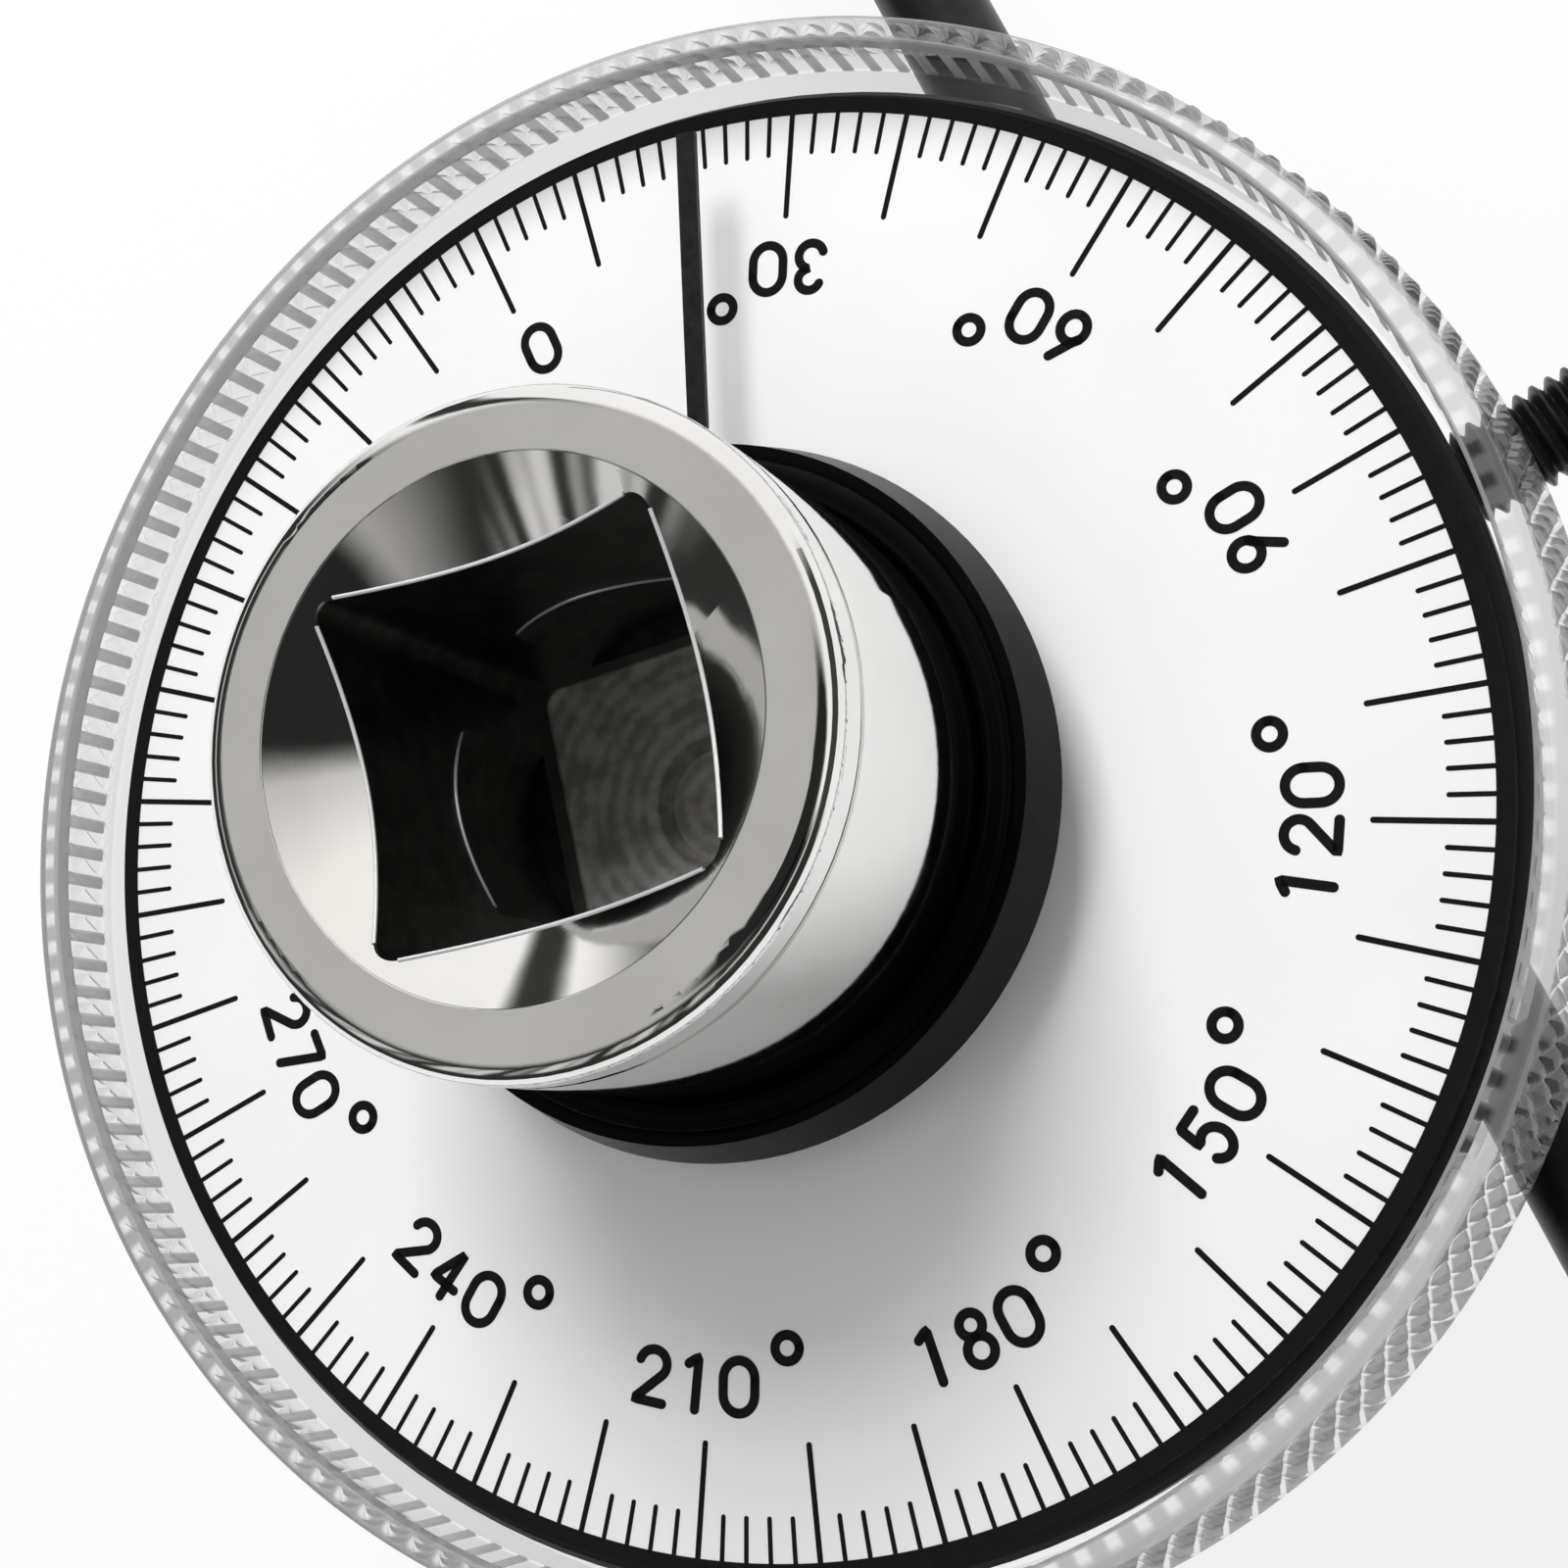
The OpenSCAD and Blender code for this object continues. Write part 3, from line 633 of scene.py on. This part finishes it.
# Centre lines of the numerals, 1 high with the pen's width left out of their height
NUMERALS = {
    "0": [
        joined(
            arc(0, 0.65, 0.33, 0.35, 0, 180), arc(0, 0.35, 0.33, 0.35, 180, 360), [(0.33, 0.65)]
        ),
    ],
    "1": [joined([(-0.16, 0.86), (0.04, 1.0), (0.04, 0.0)])],
    "2": [joined(arc(0, 0.72, 0.29, 0.28, 170, -35), [(-0.3, 0.0), (0.31, 0.0)])],
    "3": [joined(arc(-0.01, 0.77, 0.24, 0.23, 160, -80), arc(0, 0.27, 0.27, 0.27, 85, -160))],
    "4": [joined([(0.08, 0.0), (0.08, 1.0), (-0.28, 0.27), (0.28, 0.27)])],
    "5": [joined([(0.23, 1.0), (-0.2, 1.0), (-0.23, 0.55)], arc(0, 0.32, 0.27, 0.32, 130, -150))],
    "6": [joined([(0.12, 1.0), (-0.2, 0.45)], arc(0, 0.29, 0.27, 0.29, 150, 510))],
    "7": [joined([(-0.26, 1.0), (0.26, 1.0), (-0.06, 0.0)])],
    "8": [
        joined(arc(0, 0.77, 0.23, 0.23, -90, 270)),
        joined(arc(0, 0.27, 0.27, 0.27, 90, 450)),
    ],
    "9": [joined([(-0.12, 0.0), (0.2, 0.55)], arc(0, 0.71, 0.27, 0.29, -30, 330))],
    "ring": [joined(arc(0, 0, 0.25, 0.25, 0, 360, 40))],
}


def pen_line(path, width):
    """Flat pen line along a path: rings of four corners, two above the dial and two below.

    Its half width is constant, and past each end the path runs on by that half
    width while the line narrows as a half circle.
    """
    half = width / 2
    bend = np.linspace(0, math.pi / 2, 6)[1:]
    start, end = path[0] - path[1], path[-1] - path[-2]
    lead = path[0] + half * np.sin(bend)[::-1, None] * start / np.linalg.norm(start)
    tail = path[-1] + half * np.sin(bend)[:, None] * end / np.linalg.norm(end)
    line = np.concatenate([lead, path, tail])
    round_end = half * np.maximum(np.cos(bend), 0.05)
    spread = np.concatenate([round_end[::-1], np.full(len(path), half), round_end])
    way = np.gradient(line, axis=0)
    way /= np.linalg.norm(way, axis=1, keepdims=True)
    side = np.stack([-way[:, 1], way[:, 0]], axis=-1) * spread[:, None]
    left, right = line + side, line - side
    return np.stack([left, right, right, left], axis=1)


def numeral_places():
    """Each sign of each label, with the dial angle of its middle.

    The labels read with their tops towards the axis, so the first digit has the
    largest angle. A small ring stands for degrees after all but zero.
    """
    first_turn = {1: 1.1, 2: 3.1, 3: 6.3}
    pitch, ring_turn = 4.75, -5.4
    places = []
    for label in range(0, 360, 30):
        digits = str(label)
        turns = [label + first_turn[len(digits)] - pitch * k for k in range(len(digits))]
        places += list(zip(digits, turns))
        if label:
            places.append(("ring", turns[-1] + ring_turn))
    return places


def dial_numerals():
    """Numerals of the dial: pen lines set on tangents, with their tops towards the axis.

    A point at (x, y) of a sign goes to radius foot - y along the sign's own
    direction and x along the tangent that points to smaller dial angles. Each further
    stroke of a sign lies a little higher than the one before it.
    """
    above, below = np.array([1, 1, 0, 0]), np.array([0, 0, 1, 1])
    digit_high, pen = 2.01 * MM, 0.39 * MM
    foot_r, ring_r = 23.5 * MM, 21.05 * MM
    points, faces, count = [], [], 0
    for sign, turn in numeral_places():
        out = dial_direction(turn)
        tangent = np.array([-out[1], out[0]])
        middle = ring_r if sign == "ring" else foot_r
        for k, stroke in enumerate(NUMERALS[sign]):
            flat = pen_line(stroke * digit_high, pen)
            spot = (middle - flat[..., 1:]) * out + flat[..., :1] * tangent
            lift = (INK_UP + k * INK_OVER) * above - INK_SUNK * below
            high = np.broadcast_to((DIAL_TOP + lift)[None, :, None], spot.shape[:2] + (1,))
            points.append(np.concatenate([spot, high], axis=-1).reshape(-1, 3))
            faces += [[i + count for i in face] for face in capped(*flat.shape[:2])]
            count += len(points[-1])
    add_piece("dial_numerals", np.concatenate(points), faces, "housing", "black_ink")


def dial_rim():
    """Black rim that holds the dial's edge: a section with broken corners turned about the axis."""
    inner, outer, edge = 29.05 * MM, 29.74 * MM, 0.04 * MM
    top, low, foot = DIAL_TOP + 0.06 * MM, DIAL_TOP - INK_SUNK, DIAL_TOP - 0.95 * MM
    section = np.array([
        (inner, low), (inner, top - edge), (inner + edge, top),
        (outer - edge, top), (outer, top - edge), (outer, foot),
        (DIAL_R + edge, foot), (DIAL_R + edge, low),
    ])
    points, faces = turned(*section.T, 360)
    add_piece("dial_rim", points, faces, "housing", "black_plastic", 30, FINISHES["black_ink"])


tick_marks()
dial_numerals()
dial_rim()


# Clamp screw

def around_screw(x, radius, turn):
    """Points about the clamp screw's axis: distance x along it, radius and turn around it."""
    low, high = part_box("clamp_stud")
    axis_y, axis_z = (low[1] + high[1]) / 2, (low[2] + high[2]) / 2
    x, radius, turn = np.broadcast_arrays(x, radius, turn)
    return np.stack([x, axis_y + radius * np.cos(turn), axis_z + radius * np.sin(turn)], axis=-1)


def stud_thread():
    """Threaded stud: radius falls from the crest by a flattened triangle wave of x / pitch - turn.

    Near the ends the radius is held under a chamfer that rises one for one.
    """
    low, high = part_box("clamp_stud")
    pitch, depth, chamfer = 0.7 * MM, 0.42 * MM, 0.5 * MM
    crest_r = (high[2] - low[2]) / 2
    steps_to_pitch = 14
    x = np.linspace(low[0], high[0], int((high[0] - low[0]) / pitch * steps_to_pitch))[:, None]
    turn = circle(56)[None, :]
    phase = (x / pitch - turn / FULL_TURN) % 1.0
    ridge = np.clip((np.abs(2 * phase - 1) - 0.08) / 0.74, 0, 1)
    edge = crest_r - chamfer + np.minimum(x - low[0], high[0] - x)
    radius = np.minimum(crest_r - depth * (1 - ridge), np.maximum(edge, 0.3 * crest_r))
    points = around_screw(x, radius, turn)
    faces = capped(*points.shape[:2])
    piece = add_piece("stud_thread", points, faces, "clamp_screw", "black_steel", 40)
    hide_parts("clamp_stud")


def thumb_knob():
    """Fluted knob: a rounded profile turned about the screw, less round flutes along its head.

    At turn d from a flute's middle the flute's wall lies at c cos d - sqrt(f^2 - c^2 sin^2 d),
    where f is the flute's radius and c the distance of its axis.
    """
    low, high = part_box("clamp_knob")
    knob_r, head = (high[2] - low[2]) / 2, low[0] + 0.25 * (high[0] - low[0])
    hub_r, edge_r, small = 0.62 * knob_r, 1.1 * MM, 0.35 * MM
    flutes, flute_r = 14, 1.15 * MM
    bend = np.linspace(0, math.pi / 2, 9)
    x = np.concatenate([
        low[0] + small * (1 - np.cos(bend)),
        np.linspace(low[0] + small, head, 6)[1:],
        head + small * (1 - np.cos(bend)),
        np.linspace(head + small, high[0] - edge_r, 12)[1:],
        high[0] - edge_r + edge_r * np.sin(bend)[1:],
        np.full(4, high[0]),
    ])
    radius = np.concatenate([
        hub_r - small + small * np.sin(bend),
        np.full(5, hub_r),
        knob_r - small + small * np.sin(bend),
        np.full(11, knob_r),
        knob_r - edge_r + edge_r * np.cos(bend)[1:],
        (knob_r - edge_r) * np.linspace(1, 0.25, 5)[1:],
    ])
    turn = circle(flutes * 16)[None, :]
    off = (turn * flutes / FULL_TURN + 0.5) % 1.0 * FULL_TURN / flutes - math.pi / flutes
    centre = knob_r + 0.45 * flute_r
    reach_in = flute_r ** 2 - (centre * np.sin(off)) ** 2
    wall = np.where(reach_in > 0, centre * np.cos(off) - np.sqrt(np.maximum(reach_in, 0)), knob_r)
    on_head = (x > head - 1e-6) & (radius > 0.7 * knob_r)
    cut = (1 - np.minimum(wall, knob_r) / knob_r) * on_head[:, None]
    points = around_screw(x[:, None], radius[:, None] * (1 - cut), turn)
    faces = capped(*points.shape[:2])
    piece = add_piece("thumb_knob", points, faces, "clamp_screw", "black_plastic", 45)
    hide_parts("clamp_knob")


stud_thread()
thumb_knob()


# Knurled ring

def knurled_ring():
    """Clear ring: a profile turned about the drive axis, with flat diamonds around its flank.

    With u teeth around and v rows down the flank, each groove lies where u + v / 2 or
    u - v / 2 is whole. The height is the smaller distance to a groove of the two families,
    cut off flat. The bore has flutes, one to a tooth, under the lens's edge.
    """
    steps, to_tooth = 16, 8
    columns = KNURL_TEETH * to_tooth
    depth, flute, corner = 0.5 * MM, 0.1 * MM, 0.5 * MM
    bore_edge, rear_edge = 0.08 * MM, 0.12 * MM
    top_r = RING_FRONT_R - 0.3 * MM - corner
    turn = np.arange(columns) / columns * FULL_TURN
    u = turn * KNURL_TEETH / FULL_TURN
    v = np.linspace(0, KNURL_ROWS, steps + 1)[:, None]

    def groove(t):
        """0 on a groove and 1 midway between two."""
        return 1 - np.abs(2 * (t % 1.0) - 1)

    high = np.clip(np.minimum(groove(u + v / 2), groove(u - v / 2)) / 0.62, 0, 1)
    fade = np.clip(np.minimum(v, KNURL_ROWS - v) / 0.75, 0, 1)
    flank_r = RING_FRONT_R + (RING_REAR_R - RING_FRONT_R) * v / KNURL_ROWS
    flank_r = flank_r + depth * fade * (high - 0.75)
    flank_z = FLANK_TOP + (FLANK_LOW - FLANK_TOP) * v / KNURL_ROWS
    fluted_r = RING_BORE_R + flute * (np.abs(u % 1.0 - 0.5) < 0.29)
    before = [
        (RING_BORE_R, RING_LOW), (RING_BORE_R, RING_FLUTE_LOW),
        (fluted_r, RING_FLUTE_LOW), (fluted_r, RING_FLUTE_TOP),
        (RING_BORE_R, RING_FLUTE_TOP), (RING_BORE_R, RING_TOP - bore_edge),
        (RING_BORE_R + bore_edge, RING_TOP), (top_r, RING_TOP),
    ]
    bend = np.linspace(0, math.pi / 2, 6)[1:, None]
    shoulder_r = top_r + (corner + 0.2 * MM) * np.sin(bend)
    shoulder = list(zip(shoulder_r, RING_TOP - corner * (1 - np.cos(bend))))
    after = [(RING_REAR_R, RING_LOW + rear_edge), (RING_REAR_R - rear_edge, RING_LOW)]
    profile = before + shoulder + list(zip(flank_r, flank_z)) + after
    radius = np.stack([np.broadcast_to(r, columns) for r, z in profile])
    height = np.stack([np.broadcast_to(z, columns) for r, z in profile])
    points = np.stack([radius * np.cos(turn), radius * np.sin(turn), height], axis=-1)
    quads = grid_faces(len(profile), columns, True, True)
    first = len(before) + len(shoulder)
    row = np.repeat(np.arange(len(profile)), columns) - first
    mid_v = (row + 0.5) * KNURL_ROWS / steps
    mid_u = (np.tile(np.arange(columns), len(profile)) + 0.5) / to_tooth
    rising = groove(mid_u + mid_v / 2) < groove(mid_u - mid_v / 2)
    a, b, c, d = quads.T
    split = np.where(
        rising[:, None],
        np.stack([a, b, d, b, c, d], axis=-1),
        np.stack([a, b, c, a, c, d], axis=-1),
    )
    flank = (row >= 0) & (row < steps)
    faces = split[flank].reshape(-1, 3).tolist() + quads[~flank].tolist()
    piece = add_piece("knurled_ring", points, faces, "cover", "clear_acrylic", 12)
    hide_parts("bezel_ring")


knurled_ring()


# Socket and detent

def edge_glints():
    """Worn edges in the square hole: thin round beads along the lead-in cone and the recess,
    whose pale finish paints their glints.

    On a flat at distance s from the axis an edge of a cone runs as z = z0 + k sqrt(s^2 + q^2),
    with q the way along the flat. A bead is a circle carried along that curve.
    """
    bead_r, steps, ring = 0.08 * MM, 60, 8
    roof_low, roof_top, recess_r, roof_r = 8 * MM, 10.4 * MM, 7.35 * MM, 6.016 * MM
    slope = (roof_top - roof_low) / (recess_r - roof_r)
    cone = 1 / math.tan(LEAD_ANGLE)
    around = circle(ring)[None, :]
    edges = {
        "mouth_edge": (5.6 * MM, lambda r: SOCKET_FACE - (LEAD_R - r) * cone),
        "recess_edge": (3.4 * MM, lambda r: SOCKET_FLOOR + roof_low + (recess_r - r) * slope),
    }
    for name, (half, rise) in edges.items():
        q = np.linspace(-half, half, steps)[:, None]
        out = SOCKET_FLAT + bead_r * np.cos(around) + 0 * q
        up = rise(np.hypot(SOCKET_FLAT, q)) + bead_r * np.sin(around)
        points, faces = [], []
        for k in range(4):
            side = math.radians(SOCKET_TURN + 90 * k)
            x = out * math.sin(side) + q * math.cos(side)
            y = out * math.cos(side) - q * math.sin(side)
            points.append(np.stack([x, y, up], axis=-1).reshape(-1, 3))
            faces += [[i + k * len(points[-1]) for i in face] for face in capped(steps, ring)]
        points = np.concatenate(points)
        # The beads' pale, partly diffuse finish is a painted glint
        add_piece(name, points, faces, "spindle", "chrome_steel", 60, EDGE_GLINT_PAINT)


def mouth_bead():
    """Rolled edge around the mouth of the lead-in cone: a small circle turned about the axis."""
    bead_r, around = 0.09 * MM, circle(12)
    height = SOCKET_FACE - bead_r + bead_r * np.sin(around)
    points, faces = turned(LEAD_R + bead_r * np.cos(around), height, 240)
    add_piece("mouth_bead", points, faces, "spindle", "chrome_steel", 60)


def detent_coil():
    """Coil behind the detent ball: a circle of wire carried along a helix.

    The wire's middle stays at coil_r from the line of the ball's way and moves evenly
    along it, from the coil's foot to the ball's back.
    """
    wire_r, foot, pressed = 0.2 * MM, 0.7 * MM, 0.8 * MM
    turns, rings, ring = 4, 112, 10
    low, high = (np.array(corner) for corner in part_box("detent_ball"))
    middle, ball_r = (low + high) / 2, (high[2] - low[2]) / 2
    off_axis = np.hypot(middle[0], middle[1])
    way = np.array([middle[0], middle[1], 0]) / off_axis
    side, up = np.array([-way[1], way[0], 0]), np.array([0, 0, 1])
    coil_r = ball_r - 0.5 * MM
    length = off_axis - math.sqrt((ball_r + wire_r) ** 2 - coil_r ** 2) - foot
    turn = np.linspace(0, turns * FULL_TURN, rings)[:, None]
    around = circle(ring)[None, :]
    along = foot + length * turn / (turns * FULL_TURN) + wire_r * np.sin(around)
    across = coil_r + wire_r * np.cos(around)
    points = along[..., None] * way + (across * np.cos(turn))[..., None] * side
    points = points + (middle[2] + across * np.sin(turn))[..., None] * up
    piece = add_piece("detent_coil", points, capped(rings, ring), "spindle", "spring_steel", 60)
    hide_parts("detent_spring")
    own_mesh(piece)


edge_glints()
mouth_bead()
detent_coil()


# Camera, floor, studio

# Camera: its aim, how far it stands, its tilt off the drive axis towards a dial angle,
# the dial angle that is up in the picture, and its lens and sensor in millimetres
AIM = Vector((1.864 * MM, 0.178 * MM, DIAL_TOP))
CAMERA_DISTANCE = 102.69 * MM
CAMERA_TILT = math.radians(23.472)
CAMERA_SIDE = 138.97
PICTURE_TOP = 26.10
CAMERA_LENS, CAMERA_SENSOR = 59.27, 36

# Levels of the ceiling and of the fill light, the height where the ceiling begins,
# the dial angle of the tent's bright side and the tent's radius in metres
CEILING, FILL = 0.5, 0.5
CEILING_STEP = 0.66, 0.84
BRIGHT_SIDE = 55
TENT_R = 0.4


def add_camera():
    """Camera of the photograph, which looks along its own axis at AIM."""
    side, top = dial_direction(CAMERA_SIDE), dial_direction(PICTURE_TOP)
    back = Vector((*(math.sin(CAMERA_TILT) * side), math.cos(CAMERA_TILT)))
    right = (-back).cross(Vector((*top, 0))).normalized()
    up = back.cross(right)
    data = bpy.data.cameras.new("camera")
    data.lens = CAMERA_LENS
    data.sensor_width = CAMERA_SENSOR
    data.clip_start = 0.005
    data.clip_end = 20
    camera = bpy.data.objects.new("camera", data)
    turn = Matrix((right, up, back)).transposed().to_4x4()
    camera.matrix_world = Matrix.Translation(AIM + CAMERA_DISTANCE * back) @ turn
    bpy.context.collection.objects.link(camera)
    bpy.context.scene.camera = camera


def seen_rays(net):
    """1 for the rays that show a thing to the eye: straight, mirrored or through glass."""
    rays = net.node("ShaderNodeLightPath").socket.node.outputs
    straight, mirrored, through = [
        Wire(net, rays[k]) for k in ("Is Camera Ray", "Is Glossy Ray", "Is Transmission Ray")
    ]
    return straight.math("MAXIMUM", mirrored).math("MAXIMUM", through)


def pale_floor(net):
    """White to the eye but for a faint shadow, and a plain pale floor to all other rays."""
    return net.node("ShaderNodeMixShader", None, {
        0: seen_rays(net) * 0.82,
        1: net.node("ShaderNodeBsdfDiffuse", None, {"Color": (0.9, 0.9, 0.9, 1)}),
        2: net.node("ShaderNodeEmission", None, {"Color": (1, 1, 1, 1), "Strength": 1.0}),
    })


def add_floor():
    """Wide pale floor, a little under the male square."""
    half, gap = 8.0, 0.2 * MM
    corners = [(-half, -half), (half, -half), (half, half), (-half, half)]
    mesh = bpy.data.meshes.new("floor")
    mesh.from_pydata([(x, y, cad_box[0][2] - gap) for x, y in corners], [], [(0, 1, 2, 3)])
    mesh.materials.append(finish("pale_floor", pale_floor))
    floor = bpy.data.objects.new("floor", mesh)
    bpy.context.collection.objects.link(floor)


def studio_world():
    """White studio with a grey ceiling, dimmer as a source of light than as a background.

    The ceiling takes over smoothly with height above the horizon.
    """
    world = bpy.data.worlds.new("studio")
    bpy.context.scene.world = world
    net = Net(world)
    height = net.parts(net.node("ShaderNodeTexCoord", out="Generated"))[2]
    shown = 1.0 - (1.0 - CEILING) * height.step(*CEILING_STEP)
    level = FILL + (shown - FILL) * seen_rays(net)
    light = net.node("ShaderNodeCombineXYZ", None, {0: level, 1: level, 2: level})
    shine = net.node("ShaderNodeBackground", None, {"Color": light, "Strength": 1.0})
    net.node("ShaderNodeOutputWorld", None, {"Surface": shine})


def tent_cloth(net):
    """Glow of the tent: bright on one side, dark with soft streaks on the other.

    Its level is a function of the dial angle, in degrees, and of z, the sine of the
    height angle. It has a dark slot and belt on the bright side, the ceiling's level
    high up and a dark place around a fixed direction, that of the photo's camera.
    """
    x, y, z = net.parts(net.place((1 / TENT_R,) * 3, (0, 0, 0), (0, 0, -DIAL_TOP / TENT_R)))
    angle = x.math("ARCTAN2", y) * (180 / math.pi)
    away = (angle - BRIGHT_SIDE).math("ABSOLUTE")
    away = away.math("MINIMUM", 360 - away)
    bright = 1 - away.step(70, 86)
    back = away.step(110, 150)
    slow, fast = angle * 0.31, angle * 0.83 + 1.0
    wave = slow.math("SINE") * 0.5 + fast.math("SINE") * 0.35
    streaks = (wave + 0.25).step(-0.5, 0.9) * z.band((0.2, 0.36), (0.55, 0.66))
    line = z.band((0.38, 0.43), (0.46, 0.52)) * 0.6
    dark = 0.03 + 0.62 * streaks * back + line * (1 - back)
    slot = ((angle + 9) * (angle + 9)).step(4, 40)
    belt = angle.step(62, 76) * z.band((0.02, 0.06), (0.44, 0.5))
    walls = dark + ((0.04 + 0.96 * slot) * (1 - 0.95 * belt) - dark) * bright
    level = walls + (CEILING - walls) * z.step(*CEILING_STEP)
    east, north = (dial_direction(CAMERA_SIDE) * math.sin(CAMERA_TILT)).tolist()
    near = x * east + y * north + z * math.cos(CAMERA_TILT)
    level = level * (1 - 0.96 * near.step(0.86, 0.93))
    colour = net.node("ShaderNodeCombineXYZ", None, {0: level * 1.01, 1: level, 2: level * 0.97})
    return net.node("ShaderNodeEmission", None, {"Color": colour})


def add_tent():
    """Tent that only metal and gloss mirror: a band of a sphere around the dial's middle."""
    turns, rises, low, high = 96, 32, -4, 84
    turn = circle(turns)[:, None]
    rise = np.radians(np.linspace(low, high, rises))[None, :]
    points = TENT_R * np.stack(np.broadcast_arrays(
        np.cos(rise) * np.sin(turn), np.cos(rise) * np.cos(turn), np.sin(rise) + 0 * turn
    ), axis=-1) + np.array([0, 0, DIAL_TOP])
    faces = grid_faces(turns, rises, wrap_rows=True).tolist()
    mesh = bpy.data.meshes.new("tent")
    mesh.from_pydata(points.reshape(-1, 3).tolist(), [], faces)
    mesh.materials.append(finish("tent_cloth", tent_cloth))
    tent = bpy.data.objects.new("tent", mesh)
    bpy.context.collection.objects.link(tent)
    tent.visible_camera = tent.visible_diffuse = False
    tent.visible_shadow = tent.visible_transmission = False


def add_softbox(name, angle, height, distance, size, power):
    """Square soft lamp at a dial angle and a height angle, aimed at the dial's middle."""
    out = dial_direction(angle)
    rise = math.radians(height)
    back = Vector((*(math.cos(rise) * out), math.sin(rise)))
    data = bpy.data.lights.new(name, "AREA")
    data.shape = "SQUARE"
    data.size = size
    data.energy = power
    lamp = bpy.data.objects.new(name, data)
    lamp.visible_glossy = False
    spot = Vector((0, 0, DIAL_TOP)) + distance * back
    turn = back.to_track_quat("Z", "Y").to_matrix().to_4x4()
    lamp.matrix_world = Matrix.Translation(spot) @ turn
    bpy.context.collection.objects.link(lamp)


add_camera()
add_floor()
studio_world()
add_tent()
add_softbox("key_softbox", angle=20, height=56, distance=0.5, size=0.2, power=1.9)

bpy.context.scene.view_settings.view_transform = "Standard"
